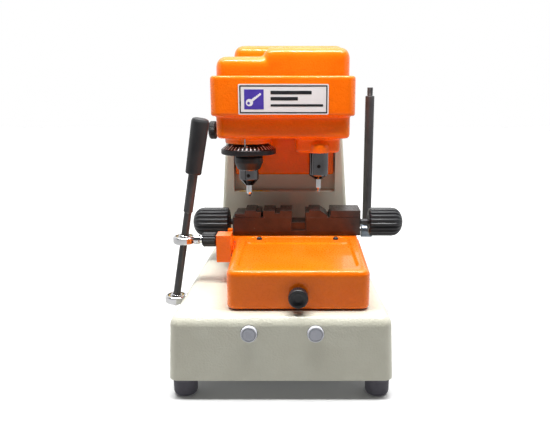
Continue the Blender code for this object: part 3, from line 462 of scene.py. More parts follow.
def pan_screw(name, at, turn, body, head=3.2, high=1.7, shank=1.6, reach=7.0, spin=0.0):
    """A cross-recessed screw, domed."""
    profile = [(0, high), (head * 0.4, high * 0.97), (head * 0.75, high * 0.75),
               (head, high * 0.2),
               (head, 0), (shank, 0), (shank, -reach), (0, -reach)]
    form = lathe(profile, (0, 0, 0), UPRIGHT, 32, soft=0.3)
    long, thin = head * 1.05, head * 0.2
    bars = [slab((-long / 2, -thin / 2, high * 0.35), (long / 2, thin / 2, high * 2)),
            slab((-thin / 2, -long / 2, high * 0.35), (thin / 2, long / 2, high * 2))]
    form = combine(form, cut=bars)
    transform(form, Matrix.Translation(at) @ turn @ Matrix.Rotation(spin, 4, "Z"))
    return piece(name, form, body, ZINC, sharp=30.0)


# ---- base

BASE_LOW, BASE_TOP = own("base_casting")[0].z, own("base_casting")[1].z
BASE_FRONT, BASE_BACK = -184.1, 129.5
BASE_HALF_FRONT, BASE_HALF_BACK = 105.2, 96.2
BASE_DRAFT, BASE_WALL, BASE_ROUND = 2.5, 6.0, 10.0
BUTTONS = {"left": middle("left_button").x, "right": middle("right_button").x}
BUTTON_Z = middle("left_button").z
BUTTON_FRONT = own("left_button")[0].y
LOW_BALL = middle("lower_ball")
HIGH_BALL = middle("upper_ball")
INLET_X = middle("power_inlet").x


def base_form(low, high, inset):
    def corner(sx, sy, sz):
        grow = BASE_DRAFT if sz < 0 else 0.0
        y = BASE_FRONT + inset - grow if sy < 0 else BASE_BACK - inset + grow
        share = (y - BASE_FRONT) / (BASE_BACK - BASE_FRONT)
        half = BASE_HALF_FRONT + share * (BASE_HALF_BACK - BASE_HALF_FRONT)
        return (sx * (half - inset + grow), y, low if sz < 0 else high)
    return cube(corner)


def make_base():
    form = base_form(BASE_LOW, BASE_TOP, 0.0)
    round_edges(form, BASE_ROUND, lambda e: max(v.co.z for v in e.verts) > BASE_LOW + 1, 10)
    cuts = [base_form(BASE_LOW - 1, BASE_TOP - BASE_WALL, BASE_WALL),
            slab((-58, 66, BASE_TOP - 10), (58, 116, BASE_TOP + 5)),
            rod(4.6, 16, (-98, LOW_BALL.y, LOW_BALL.z), ALONG_X),
            slab((INLET_X - 14.5, 120, 39), (INLET_X + 14.5, 140, 61))]
    for x in BUTTONS.values():
        cuts.append(rod(8.3, 7.8, (x, BASE_FRONT - 1.5, BUTTON_Z), ALONG_Y, 64))
        cuts.append(rod(4.6, 20, (x, BASE_FRONT, BUTTON_Z), ALONG_Y))
    piece("base_body", combine(form, cut=cuts), "frame", CREAM, ["base_casting"])


def make_feet():
    for end in ("front", "back"):
        for side in ("left", "right"):
            node = f"{end}_{side}_foot"
            low, high = own(node)
            at = ((low.x + high.x) / 2, (low.y + high.y) / 2, 0)
            radius, top = (high.x - low.x) / 2, high.z
            profile = [(0, top), (radius - 0.6, top), (radius, top - 0.8), (radius, top - 3.2),
                       (radius - 0.7, top - 4.0), (radius - 0.9, 3.2), (radius - 1.8, 1.0),
                       (radius - 3.6, 0.0), (5.2, 0.0), (4.8, 3.5), (0, 3.5)]
            piece(node + "_rubber", lathe(profile, at, UPRIGHT, 64, soft=0.7), "frame",
                  RUBBER, [node])
            pan_screw(node + "_screw", (at[0], at[1], 3.4), Matrix.Rotation(math.pi, 4, "X"),
                      "frame", head=4.0, high=2.0, reach=10.0)


def make_buttons():
    for side, x in BUTTONS.items():
        node = side + "_button"
        cap = [(0, 0.05), (5.2, 0.0), (6.0, -0.35), (6.2, -0.6), (6.2, -4.0), (4.0, -4.0),
               (4.0, -9.5),
               (0, -9.5)]
        rim = [(6.3, -0.7), (6.6, -0.05), (7.2, -0.05), (7.9, -0.75), (7.9, -4.1), (6.3, -4.1)]
        at = (x, BUTTON_FRONT + 0.05, BUTTON_Z)
        piece(node + "_cap", lathe(cap, at, ALONG_MINUS_Y, 64, soft=0.3), node,
              BUTTON, [node])
        # The rim ring carries the painted highlight colour.
        piece(node + "_rim", lathe(rim, at, ALONG_MINUS_Y, 64, soft=0.3, ring=True), node,
              RIM_HIGHLIGHT)


YELLOW_LINE_BLOBS = 26


def make_column():
    low_z, top_z = own("column_casting")[0].z, own("column_casting")[1].z
    front, back = own("column_casting")[0].y, own("column_casting")[1].y
    half_low, half_top = own("column_casting")[1].x, 74.0

    def half(z):
        return half_low + (z - low_z) / (top_z - low_z) * (half_top - half_low)

    def tapered(low, high, near, far, inset):
        def corner(sx, sy, sz):
            z = low if sz < 0 else high
            return (sx * (half(z) - inset), near if sy < 0 else far, z)
        return cube(corner)

    form = tapered(low_z, top_z, front, back, 0.0)
    round_edges(form, 5.0, upright, 8)
    joined = []
    cuts = [tapered(low_z - 1, top_z + 1, 70, back + 1, 7.0),
            slab((-65, front - 1, 162), (65, 64, 240)),
            slab((-21, 63, 190), (21, 71, 240))]
    for side in (-1, 1):
        inner, outer = sorted((side * 61, side * 80.5))
        joined.append(slab((inner, 112.5, low_z + 0.1), (outer, 127, 108)))
        cuts.append(rod(9.2, 20, (side * 80, 97, 99), ALONG_X, 48))
    form = combine(combine(form, cut=cuts[:1]), joined=joined, cut=cuts[1:])
    piece("column_body", form, "frame", CREAM, ["column_casting"])
    # A line of yellow blobs along the sill of the front recess.
    yellow_blobs = []
    rng = random.Random(4)
    for i in range(YELLOW_LINE_BLOBS):
        x = -57.5 + 1.5 * i
        fat = 0.6 + 0.4 * rng.random() + (0.5 if 6 < i < 20 else 0.0)
        blob = bmesh.new()
        bmesh.ops.create_uvsphere(blob, u_segments=12, v_segments=8, radius=1.0)
        transform(blob, Matrix.Translation((x, front + 1.4, 162.15))
                  @ Matrix.Diagonal((1.6, 1.1, fat, 1.0)))
        yellow_blobs.append(blob)
    piece("yellow_sill_line", cast(merged(*yellow_blobs), 0.3, 3), "frame", SILL_YELLOW)
    for side in (-1, 1):
        for i, z in enumerate((99.0, 162.0, 226.0)):
            name = ("left" if side < 0 else "right") + f"_rear_screw_{i + 1}"
            pan_screw(name, (side * (half(z) - 3.5), own("rear_cover")[1].y + 0.02, z), ALONG_Y,
                      "frame", spin=0.5 * i + side)
    bolts = [(-60, 60), (60, 60), (-70, 119.5), (70, 119.5)]
    for i, (x, y) in enumerate(bolts):
        socket_screw(f"column_bolt_{i + 1}", (x, y, BASE_TOP - BASE_WALL - 0.05),
                     Matrix.Rotation(math.pi, 4, "X"), "frame", head=5.0, high=4.5, shank=3.0,
                     reach=13.0, style="cap")


# ---- head

SPINDLE_X = middle("cutter_bit").x
BAND_HIGH = own("head_casting")[1]
BAND_HALF, BAND_FRONT, BAND_BACK = BAND_HIGH.x, -40.0, 131.0
HEAD_BAND, HEAD_RIM, HEAD_LOW = 262.0, BAND_HIGH.z, 236.5
COVER_HALF, COVER_FRONT, COVER_BACK, COVER_LOW = own("top_cover")[1].x, -33.6, 124.6, 288.0
COVER_SCREW_YS, COVER_SCREW_Z = (-8.0, 96.0), 294.0
COVER_TOPS = (327.0, 337.0, own("top_cover")[1].z)


def make_head():
    form = slab((-BAND_HALF, BAND_FRONT, HEAD_BAND), (BAND_HALF, BAND_BACK, HEAD_RIM),
                sides=11, top=3, bottom=2)
    joined = [slab((-76, -33, HEAD_LOW), (76, 49, 263), sides=9, bottom=4),
              slab((-63, 40, HEAD_LOW), (63, 63.7, 264)),
              slab((-63, 52.3, 184), (63, 63.7, 240)),
              slab((-20, 63, 206), (20, 79, 224)),
              rod(27.5, 10, (-SPINDLE_X, 0, 234.3), UPRIGHT, 64),
              slab((14, -25, 219.6), (65.7, 25, 240), sides=10, bottom=3)]
    dome = [(0, 237.2)] + [(12.7 * math.cos(t), 226 + 10 * math.sin(t)) for t in
                           (math.radians(90 - 10 * i) for i in range(1, 10))]
    dome += [(12.7, 219.6), (0, 219.6)]
    joined.append(lathe(dome, (SPINDLE_X, -17.5, 0), UPRIGHT, 48, soft=0.0))
    form = combine(form, joined=joined)
    tubes = [rod(19.5, 40, (SPINDLE_X, 0, 286), UPRIGHT, 48),
             rod(19.5, 22, (-SPINDLE_X, 0, 277), UPRIGHT, 48)]
    form = combine(form, cut=[slab((-75.2, -34, 268), (75.2, 125, 310), sides=8)])
    form = combine(form, joined=tubes)
    form = cast(form, 1.15, 5)
    holes = [rod(16.6, 80, (SPINDLE_X, 0, 290), UPRIGHT, 64),
             rod(12.2, 60, (SPINDLE_X, 0, 240), UPRIGHT, 64),
             rod(12.6, 80, (-SPINDLE_X, 0, 260), UPRIGHT, 64),
             rod(28.5, 30, (0, 92.3, 266), UPRIGHT, 64),
             rod(4.3, 26, (-66, 0, 244.4), ALONG_X)]
    for side in (-1, 1):
        for y in COVER_SCREW_YS:
            holes.append(rod(2.0, 20, (side * 76, y, COVER_SCREW_Z), ALONG_X))
            holes.append(rod(3.6, 5, (side * 82, y, COVER_SCREW_Z), ALONG_X))
            name = ("left" if side < 0 else "right") + ("_front" if y < 0 else "_back")
            turn = ALONG_MINUS_X if side < 0 else ALONG_X
            socket_screw(name + "_cover_screw", (side * 79.5, y, COVER_SCREW_Z), turn, "head",
                         head=3.3,
                         high=1.6, shank=1.7, reach=7.5)
    form = combine(form, cut=holes, solver="MANIFOLD")
    piece("head_body", form, "head", ORANGE, ["head_casting"], weighted=False)


def cover_forms(wall):
    half, front, back = COVER_HALF - wall, COVER_FRONT + wall, COVER_BACK - wall
    low = COVER_LOW - wall
    rounding = {"sides": 12.6 - wall, "top": 11 - wall}
    left = slab((-half, front, low), (-10, back, COVER_TOPS[0] - wall), **rounding)
    right = slab((-22 + wall, front, low), (half, back, COVER_TOPS[1] - wall), **rounding)
    rear = slab((-60.6 + wall, 30 + wall, low), (half, back, COVER_TOPS[2] - wall), **rounding)
    return left, right, rear


def make_cover():
    left, right, rear = cover_forms(0.0)
    form = cast(combine(left, joined=[right, rear]), 1.15, 34)
    inner = cover_forms(3.4)
    hollow = cast(combine(inner[0], joined=[inner[1], inner[2]]), 2.0, 4)
    form = combine(form,
                   cut=[hollow, slab((-90, -60, COVER_LOW - 12), (90, 150, COVER_LOW + 0.02))],
                   solver="MANIFOLD")
    piece("cover_body", form, "head", ORANGE, ["top_cover"], weighted=False)


def key_outline():
    """A plain key seen flat, pointing along +X, about 15 long."""
    bow = arc(-4.4, 0, 3.1, 20, 340, 24)
    blade = [(7.6, -1.05), (8.3, -0.1), (7.3, 1.05), (6.5, 0.35), (5.7, 1.05), (4.9, 0.2),
             (4.0, 1.05), (3.1, 0.45), (2.4, 1.05)]
    return bow + blade


# Each bar is a share of the free width, and its height.
PLATE_BARS = ((0.78, 3.8), (0.52, 3.8), (1.0, 2.6))


def make_plate():
    low, high = own("name_plate")
    back, front = high.y, low.y
    centre_z = (low.z + high.z) / 2

    def panel(x0, x1, z0, z1, y0, y1, corner=0.0):
        form = slab((x0, -(y1 - y0) / 2, z0), (x1, (y1 - y0) / 2, z1))
        if corner:
            round_edges(form, corner, lambda e: abs(e.verts[0].co.y - e.verts[1].co.y) > 1e-4,
                        5)
        return transform(form, Matrix.Translation((0, (y0 + y1) / 2, 0)))

    piece("name_plate_panel", panel(low.x, high.x, low.z, high.z, front + 0.25, back, 1.4),
          "head",
          PLATE, ["name_plate"], sharp=30)
    inset, line = 1.4, 1.4
    outer = panel(low.x + inset, high.x - inset, low.z + inset, high.z - inset, front + 0.12,
                  front + 0.3, 0.8)
    inner = panel(low.x + inset + line, high.x - inset - line, low.z + inset + line,
                  high.z - inset - line, front - 1, front + 1, 0.5)
    piece("name_plate_border", combine(outer, cut=[inner]), "head", INK, sharp=30)
    square = 21.5
    x0 = low.x + 6.6
    z0 = centre_z - square / 2
    piece("name_plate_square",
          panel(x0, x0 + square, z0, z0 + square, front + 0.12, front + 0.3),
          "head", VIOLET, sharp=30)
    key = prism(key_outline(), 0.2)
    key = combine(key, cut=[rod(1.2, 2, (-5.3, 0, 0), UPRIGHT)])
    transform(key,
              Matrix.Translation((x0 + square / 2 - 0.6, front + 0.1, centre_z)) @ ALONG_MINUS_Y
              @ Matrix.Rotation(math.radians(38), 4, "Z") @ Matrix.Scale(1.28, 4))
    piece("name_plate_key", key, "head", PRINT_WHITE, sharp=30)
    start, end = x0 + square + 7.5, high.x - 6.0
    bars = []
    for i, (share, deep) in enumerate(PLATE_BARS):
        z = centre_z + 5.4 - i * 6.6
        bars.append(panel(start, start + share * (end - start), z, z + deep, front + 0.12,
                          front + 0.3, 0.6))
    piece("name_plate_bars", merged(*bars), "head", INK, sharp=30)


# ---- spindles

def set_screw(name, x, z, front, body):
    profile = [(0, 0.1), (1.7, 0.1), (1.95, -0.3), (1.95, -5.0), (0, -5.0)]
    form = combine(lathe(profile, (0, 0, 0), UPRIGHT, 24, soft=0.2),
                   cut=[prism(hex_outline(1.9), 3, (0, 0, 0))])
    transform(form, Matrix.Translation((x, front + 1.0, z)) @ ALONG_MINUS_Y)
    piece(name, form, body, INK, sharp=30)


CUTTER_SET_Z, TRACER_SET_Z = 202.5, 191.5
MILL_FLUTES = 3


def make_cutter():
    x = SPINDLE_X
    outside = [(0, 329), (6, 329), (6, 311), (8, 311), (8, 249), (11.5, 248), (11.5, 191.8),
               (10.8, 190.4), (5.0, 186.2), (3.3, 186.2), (3.3, 215), (0, 215)]
    form = lathe(outside, (x, 0, 0), UPRIGHT, 96, soft=0.35)
    form = combine(form, cut=[rod(2.1, 12, (x, -9, CUTTER_SET_Z), ALONG_Y)])
    piece("cutter_collet", form, "cutter", BLACK_CHROME, ["cutter_spindle"],
          sharp=30)
    set_screw("cutter_set_screw", x, CUTTER_SET_Z, -11.5, "cutter")
    low, high = own("cutter_bit")
    shank_end, neck = 175.0, 173.4

    def section(z):
        if z > shank_end:
            return 3.0, 0.0
        share = min(1.0, (shank_end - z) / (shank_end - neck))
        return 3.0 - 1.35 * share, 0.36 * min(1.0, max(0.0, (173.2 - z) / 0.6))

    def wave(angle, r, z):
        radius, depth = section(z)
        swirl = (z - low.z) * 0.75
        scale = r / 3.0
        cut = depth * (0.5 - 0.5 * math.cos(MILL_FLUTES * (angle - swirl))) * 1.6
        return scale * (radius - cut)

    levels = [high.z, 176.0, 175.0, 174.6, 174.2, 173.8, 173.4]
    levels += [173.2 - 0.2 * i for i in range(int((173.2 - low.z) / 0.2) + 1)]
    levels[-1] = low.z
    profile = [(0, high.z)] + [(3.0, z) for z in levels] + [(0, low.z + 0.25)]
    piece("cutter_mill", lathe(profile, (x, 0, 0), UPRIGHT, 72, soft=0.0, wave=wave), "cutter",
          CHROME, ["cutter_bit"], sharp=45)


def make_tracer():
    x = -SPINDLE_X
    outside = [(0, 282), (12, 282), (12, 198), (11.6, 197.4), (11.6, 186.2), (10.9, 185.4),
               (5.2, 179.0), (3.8, 179.0), (3.8, 208), (0, 208)]
    form = lathe(outside, (x, 0, 0), UPRIGHT, 96, soft=0.35)
    form = combine(form, cut=[rod(2.1, 12, (x, -9, TRACER_SET_Z), ALONG_Y)])
    piece("tracer_collet", form, "tracer", BLACK_CHROME, ["tracer_spindle"],
          sharp=30)
    set_screw("tracer_set_screw", x, TRACER_SET_Z, -11.6, "tracer")
    tip = own("tracer_pin")[0].z
    pin = [(0, 207), (3.5, 207), (3.5, 170.4), (3.3, 168.6), (2.2, 166.6), (1.0, tip), (0, tip)]
    piece("tracer_stylus", lathe(pin, (x, 0, 0), UPRIGHT, 64, soft=0.5), "tracer",
          CHROME,
          ["tracer_pin"])


DIAL_MARKS, LONG_MARK_EVERY = 40, 5


def make_dial():
    x = -SPINDLE_X
    low, high = own("depth_dial")
    radius, rim, top = (high.x - low.x) / 2, 222.2, high.z
    bore = 12.4
    outline = [(bore, top), (24.0, top), (radius - 0.6, rim + 0.5), (radius, rim - 0.1),
               (radius, 217.2), (radius - 0.6, 216.7), (19, 214.6), (bore, 214.6)]
    groove = lathe([(radius + 1, 219.9), (radius + 1, 219.4), (radius - 0.35, 219.65)],
                   (0, 0, 0), UPRIGHT, 96, soft=0.0, ring=True)
    form = combine(lathe(outline, (0, 0, 0), UPRIGHT, 192, soft=0.3, ring=True), cut=[groove])
    transform(form, Matrix.Translation((x, 0, 0)))
    piece("dial_ring", form, "dial", DIAL_BLACK, ["depth_dial"], sharp=30)
    fall = (rim + 0.5 - top) / (radius - 0.6 - 24.0)

    def mark(angle, inner, outer, thin, thick):
        bm = bmesh.new()
        points = []
        for r, w in ((inner, thin), (outer, thick), (outer, -thick), (inner, -thin)):
            points.append((r, w / 2, top + fall * (r - 24.0)))
        lower = [bm.verts.new((px, py, pz - 0.25)) for px, py, pz in points]
        upper = [bm.verts.new((px, py, pz + 0.05)) for px, py, pz in points]
        bm.faces.new(upper)
        bm.faces.new(lower[::-1])
        for i in range(4):
            j = (i + 1) % 4
            bm.faces.new((lower[i], lower[j], upper[j], upper[i]))
        bmesh.ops.recalc_face_normals(bm, faces=bm.faces)
        return transform(bm, Matrix.Translation((x, 0, 0)) @ Matrix.Rotation(angle, 4, "Z"))

    marks = []
    for i in range(DIAL_MARKS):
        angle = math.tau * i / DIAL_MARKS
        inner, thick = (26.8, 1.6) if i % LONG_MARK_EVERY else (24.6, 2.1)
        marks.append(mark(angle, inner, radius - 1.3, thick * 0.7, thick))
    piece("dial_graduations", merged(*marks), "dial", WHITE, sharp=20)
    sleeve = [(bore, 214.2), (15.6, 214.2), (16.8, 212.4), (17, 211.4), (17, 206.5),
              (16.2, 204.5),
              (13.4, 198.4), (bore, 198.4)]
    piece("dial_collar", lathe(sleeve, (x, 0, 0), UPRIGHT, 96, soft=0.5, ring=True), "dial",
          BLACK, ["dial_sleeve"])
    at = middle("dial_pointer")
    needle = [(0, 5.0), (0.6, 5.0), (0.7, 4.2), (0.7, 0.0), (0.25, -4.8), (0, -5.0)]
    piece("dial_needle", lathe(needle, at, UPRIGHT, 24, soft=0.2), "head", STEEL,
          ["dial_pointer"])


KNURLS = 30


def make_tracer_knob():
    low, high = own("tracer_lock_knob")
    at = (0, (low.y + high.y) / 2, (low.z + high.z) / 2)
    radius = (high.z - low.z) / 2
    face = -low.x
    profile = [(0, face - 0.3), (4.6, face - 0.2), (6.4, face), (9.2, face - 1.0),
               (radius, face - 2.6), (radius, 80.4), (9.8, 79.2), (4.0, 79.2), (4.0, 55.5),
               (0, 55.5)]

    def wave(angle, r, z):
        if r > 9.0 and 80 < z < face - 1.6:
            return r - 0.45 * max(0.0, -math.cos(KNURLS * angle))
        return r

    piece("tracer_lock_wheel", lathe(profile, at, ALONG_MINUS_X, 180, soft=0.6, wave=wave),
          "tracer_lock", BLACK, ["tracer_lock_knob"])


# ---- tray and carriage

TRAY_X = middle("tray_cover").x
TRAY_FRONT, TRAY_BACK = own("tray_cover")[0].y, own("tray_cover")[1].y
TRAY_LOW, TRAY_TOP = own("tray_cover")[0].z, own("tray_cover")[1].z
TRAY_SCREWS = (-27.4, 60.4)
TRAY_SCREW_Y, TRAY_KNOB_Z = -45.4, 99.0


def tray_form(inset, low, high, back=0.0):
    def corner(sx, sy, sz):
        half = 68.8 if sy < 0 else 71.8
        y = TRAY_FRONT + inset if sy < 0 else TRAY_BACK + back
        return (TRAY_X + sx * (half - inset), y, low if sz < 0 else high)
    return cube(corner)


def make_tray():
    form = rounded(tray_form(0.0, TRAY_LOW, TRAY_TOP), sides=9, top=5.5, bottom=2.5)
    left, right = TRAY_X - 59, TRAY_X + 59
    sink = slab((left, -154, 121.4), (right, -34, 130), sides=9)
    pad = slab((TRAY_X - 56, -61, 119.5), (TRAY_X + 56, -36.5, 122.7), sides=6)
    form = combine(form, cut=[sink])
    form = combine(form, joined=[pad])
    form = cast(form, 1.0, 4)
    cuts = [tray_form(4.0, TRAY_LOW - 2, 118.4, 3.0),
            slab((-80, -200, TRAY_LOW - 5), (120, 0, TRAY_LOW + 0.02)),
            rod(2.7, 20, (TRAY_X, TRAY_FRONT, TRAY_KNOB_Z), ALONG_Y)]
    for x in TRAY_SCREWS:
        cuts.append(rod(1.9, 14, (x, TRAY_SCREW_Y, 120), UPRIGHT, 32))
        socket_screw(("left" if x < 0 else "right") + "_tray_screw", (x, TRAY_SCREW_Y, 122.5),
                     UPRIGHT, "carriage", head=3.2, high=3.2, shank=1.6, reach=9.0,
                     material=INK)
    form = combine(form, cut=cuts, solver="MANIFOLD")
    piece("tray_body", form, "carriage", ORANGE, ["tray_cover"], weighted=False)
    low, high = own("tray_lock_knob")
    radius = (high.x - low.x) / 2
    face = TRAY_FRONT - low.y
    knob = [(0, face - 2.4), (3.6, face - 2.4), (5.6, face - 1.6), (7.2, face - 0.3),
            (8.0, face),
            (9.0, face - 0.6), (radius, face - 1.8), (radius, 2.4), (8.6, 1.0), (2.4, 1.0),
            (2.4, -14.5), (0, -14.5)]

    def wave(angle, r, z):
        if r > 9.2 and 2 < z < face - 1.5:
            return r - 0.4 * max(0.0, -math.cos(KNURLS * angle))
        return r

    piece("tray_lock_wheel",
          lathe(knob, (TRAY_X, TRAY_FRONT, TRAY_KNOB_Z), ALONG_MINUS_Y, 180, soft=0.6,
                wave=wave),
          "tray_lock", BLACK, ["tray_lock_knob"])


# ---- vise knobs

FLUTES, FLUTE_DEPTH, THREAD_PITCH = 20, 1.6, 1.0


def make_vise_knobs():
    for side, outward, length in (("left", -1, 44.8), ("right", 1, 42.0)):
        node = side + "_vise_knob"
        low, high = own(node)
        radius = (high.z - low.z) / 2
        face = low.x + length if outward < 0 else high.x - length
        reach = high.x - face if outward < 0 else face - low.x
        at = (face, (low.y + high.y) / 2, (low.z + high.z) / 2)
        dome = [(radius * math.sin(t) * 0.985, length - 12.5 + 12.5 * math.cos(t)) for t in
                (math.radians(9 * i) for i in range(0, 11))]
        profile = dome + [(radius, length - 13.5), (radius, 3.0), (radius - 0.5, 1.4),
                          (14.8, 0.6),
                          (14.2, 0.0), (8.5, 0.0), (8.0, 0.8), (5.6, 0.8), (5.4, -0.05),
                          (0, -0.05)]

        def wave(angle, r, z, length=length):
            if not 1.2 < z < length - 1.0 or r < 9.0:
                return r
            fade = min(1.0, (length - z) / 13.0, (z - 1.0) / 1.5)
            ridge = math.cos(FLUTES * angle)
            return r - FLUTE_DEPTH * fade * (0.5 - 0.5 * ridge) ** 1.3

        turn = ALONG_MINUS_X if outward < 0 else ALONG_X
        steps = 288
        piece(side + "_star_knob", lathe(profile, at, turn, steps, soft=0.0, wave=wave),
              side + "_vise_screw", BLACK, [node], weighted=False, sharp=60)
        thread = [(0, 3.0), (3.5, 3.0), (3.5, -9.5)]
        z = -9.5
        while z > -reach + 1.2:
            thread += [(3.5, z), (3.05, z - 0.5)]
            z -= THREAD_PITCH
        thread += [(3.5, -reach + 0.6), (2.9, -reach), (0, -reach)]
        piece(side + "_vise_screw", lathe(thread, at, turn, 40, soft=0.12),
              side + "_vise_screw",
              ROD_BLACK)


# ---- hand lever and feed lever

def zone(radius, half, count=10):
    top = math.asin(half / radius)
    turns = [top - 2 * top * i / count for i in range(count + 1)]
    return [(radius * math.cos(t), radius * math.sin(t)) for t in turns]


TILT = math.atan2(HIGH_BALL.x - LOW_BALL.x, HIGH_BALL.z - LOW_BALL.z)
LEANING = Matrix.Rotation(TILT, 4, "Y")


def make_rod_ends():
    ends = (("lower", LOW_BALL, "frame", "lower_race", "lever", -95.0),
            ("upper", HIGH_BALL, "carriage", "upper_race", "upper_ball", -61.0))
    for prefix, at, holder, race_body, ball_body, shank in ends:
        ring = [(10.6, 4.2), (12.0, 3.0), (12.0, -3.0), (10.6, -4.2)] + zone(9.3, 4.2)[::-1]
        housing = lathe(ring, at, UPRIGHT, 72, soft=0.5, ring=True)
        start = at.x + 10.8
        stem = lathe([(0, 0), (5.4, 0), (5.4, 5.5), (4.6, 6.2), (4.0, 6.2),
                      (4.0, shank - start),
                      (0, shank - start)], (start, at.y, at.z), ALONG_X, 40, soft=0.4)
        housing = combine(housing, joined=[stem],
                          cut=[lathe([(0, 6), (9.31, 6), (9.31, -6), (0, -6)], at, UPRIGHT, 72,
                                     0.0)])
        piece(prefix + "_rod_eye", housing, holder, CHROME, [prefix + "_rod_end"],
              sharp=40)
        race = zone(9.0, 3.4) + zone(7.8, 3.4)[::-1]
        piece(prefix + "_race_ring", lathe(race, at, UPRIGHT, 72, soft=0.0, ring=True),
              race_body,
              BRASS, [prefix + "_race"], sharp=40)
        bore = (own(prefix + "_ball")[1].y - own(prefix + "_ball")[0].y) / 2
        inner = 4.6 if prefix == "lower" else 4.9
        ball = zone(bore, 5.2, 14) + [(inner, -5.2), (inner, 5.2)]
        piece(prefix + "_ball_polished", lathe(ball, at, LEANING, 72, soft=0.15, ring=True),
              ball_body,
              CHROME, [prefix + "_ball"], sharp=40)


def make_lever():
    top, collar = 171.0, 99.9
    profile = [(0, top), (4.4, top), (5, top - 0.6), (5, collar + 0.4), (4.6, collar),
               (4, collar - 0.6), (4, -5.4), (3.4, -6), (0, -6)]
    piece("lever_bar", lathe(profile, LOW_BALL, LEANING, 48, soft=0.3), "lever",
          ROD_BLACK, ["lever_rod"])
    low, high = 141.9, 201.7
    grip = [(0, high), (5.5, high), (8.4, high - 1.2), (9.4, high - 3.8), (9.35, high - 10.0),
            (8.5, low + 1.6), (8.1, low + 0.4), (7.4, low), (5.35, low), (5.35, top + 1),
            (0, top + 1)]
    piece("lever_handle", lathe(grip, LOW_BALL, LEANING, 72, soft=0.5), "lever",
          GRIP,
          ["lever_grip"])
    cap = [(0, -6.0), (3.0, -6.0), (3.2, -7.4), (2.4, -8.2), (0, -8.4)]
    piece("lever_end_plug", lathe(cap, LOW_BALL, LEANING, 32, soft=0.3), "lever",
          WHITE)
    low, high = own("lever_jam_nut")
    at = ((low.x + high.x) / 2, HIGH_BALL.y, HIGH_BALL.z)
    half = (high.x - low.x) / 2
    nut = [(4.3, half), (6.4, half), (7.5, half - 0.9), (8.0, half - 1.6), (8.0, 1.6 - half),
           (7.5, 0.9 - half), (6.4, -half), (4.3, -half)]

    def wave(angle, r, z):
        return r - (0.7 * (0.5 - 0.5 * math.cos(16 * angle)) if r > 7.4 else 0)

    piece("lever_nut", lathe(nut, at, ALONG_X, 128, soft=0.3, ring=True, wave=wave), "carriage",
          BLACK, ["lever_jam_nut"])


def make_feed_lever():
    low, high = own("feed_rod")
    x, y = (low.x + high.x) / 2, (low.y + high.y) / 2
    shoulder = high.z - 11.0
    radius = (high.x - low.x) / 2
    profile = [(0, high.z), (3.3, high.z), (4.0, high.z - 0.8)]
    z = high.z - 0.8
    while z > shoulder + 2.4:
        profile += [(4.0, z - 0.25), (3.45, z - 0.75)]
        z -= THREAD_PITCH
    profile += [(4.0, shoulder + 1.6), (3.4, shoulder + 1.2), (3.4, shoulder),
                (radius - 0.7, shoulder),
                (radius, shoulder - 0.7), (radius, low.z + 0.7), (radius - 0.7, low.z),
                (0, low.z)]
    piece("feed_bar", lathe(profile, (x, y, 0), UPRIGHT, 56, soft=0.2), "feed_lever",
          ROD_BLACK, ["feed_rod"])
    low, high = own("feed_hub")
    at = middle("feed_hub")
    radius, half = (high.z - low.z) / 2, (high.x - low.x) / 2
    hub = [(7.3, half), (radius - 0.8, half), (radius, half - 0.8), (radius, 0.8 - half),
           (radius - 0.8, -half), (7.3, -half)]
    piece("feed_boss", lathe(hub, at, ALONG_X, 72, soft=0.4, ring=True), "feed_lever",
          HUB_STEEL, ["feed_hub"])
    low, high = own("feed_shaft")
    at = (0, (low.y + high.y) / 2, (low.z + high.z) / 2)
    shaft = [(0, high.x), (6.2, high.x), (7, high.x - 0.8), (7, -89.5), (11, -89.5), (11, -95),
             (10.3, low.x), (0, low.x)]
    form = combine(lathe(shaft, at, ALONG_X, 64, soft=0.3),
                   cut=[prism(hex_outline(5.0), 6, (low.x, at[1], at[2]), ALONG_X)])
    piece("feed_axle", form, "feed_lever", STEEL, ["feed_shaft"], sharp=30)
    for side, turn in (("left", ALONG_X), ("right", ALONG_MINUS_X)):
        bush = [(8.8, -77.5), (8.8, -85.7), (11, -85.7), (11, -87.7), (7.3, -87.7),
                (7.3, -77.5)]
        piece(side + "_bush_ring", lathe(bush, at, turn, 64, soft=0.3, ring=True), "frame",
              BRONZE, [side + "_shaft_bush"])


# ---- carried-over nodes

def carry(node, material, bevel=0.0, angle=30.0, smooth=None):
    """Gives a CAD node its own material and, if asked, softened edges."""
    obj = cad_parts[node]
    obj.data.materials.clear()
    obj.data.materials.append(material)
    for polygon in obj.data.polygons:
        polygon.material_index = 0
    if smooth:
        obj.data.shade_smooth()
        obj.data.set_sharp_from_angle(angle=math.radians(smooth))
    if bevel:
        weld = obj.modifiers.new("Weld", "WELD")
        weld.merge_threshold = 0.00001
        modifier = obj.modifiers.new("Edges", "BEVEL")
        modifier.width = bevel * MM
        modifier.segments = 3
        modifier.limit_method = "ANGLE"
        modifier.angle_limit = math.radians(angle)
        modifier.harden_normals = True


# Nodes with softened edges: material, bevel in mm, least edge angle, nodes.
EDGED = (
    (ZINC, 0.3, 30, ("bottom_plate",)),
    (BLACK, 0.4, 35, ("switches",)),
    (BLACK, 0.5, 35, ("power_inlet",)),
    (CREAM_SHEET, 0.35, 40, ("rear_cover",)),
    (ALUMINIUM, 0.4, 40, ("guide_frame", "depth_slide")),
    (ALUMINIUM, 0.5, 40, ("slide_block",)),
    (STEEL, 0.3, 40, ("depth_rails",)),
    (STEEL, 0.12, 40, ("feed_gear", "feed_rack")),
    (ORANGE, 0.9, 40, ("carriage_casting",)),
    (BLACKENED, 0.35, 40, ("vise_body",)),
    (BLACKENED, 0.25, 40, ("left_moving_jaw", "right_moving_jaw")),
)
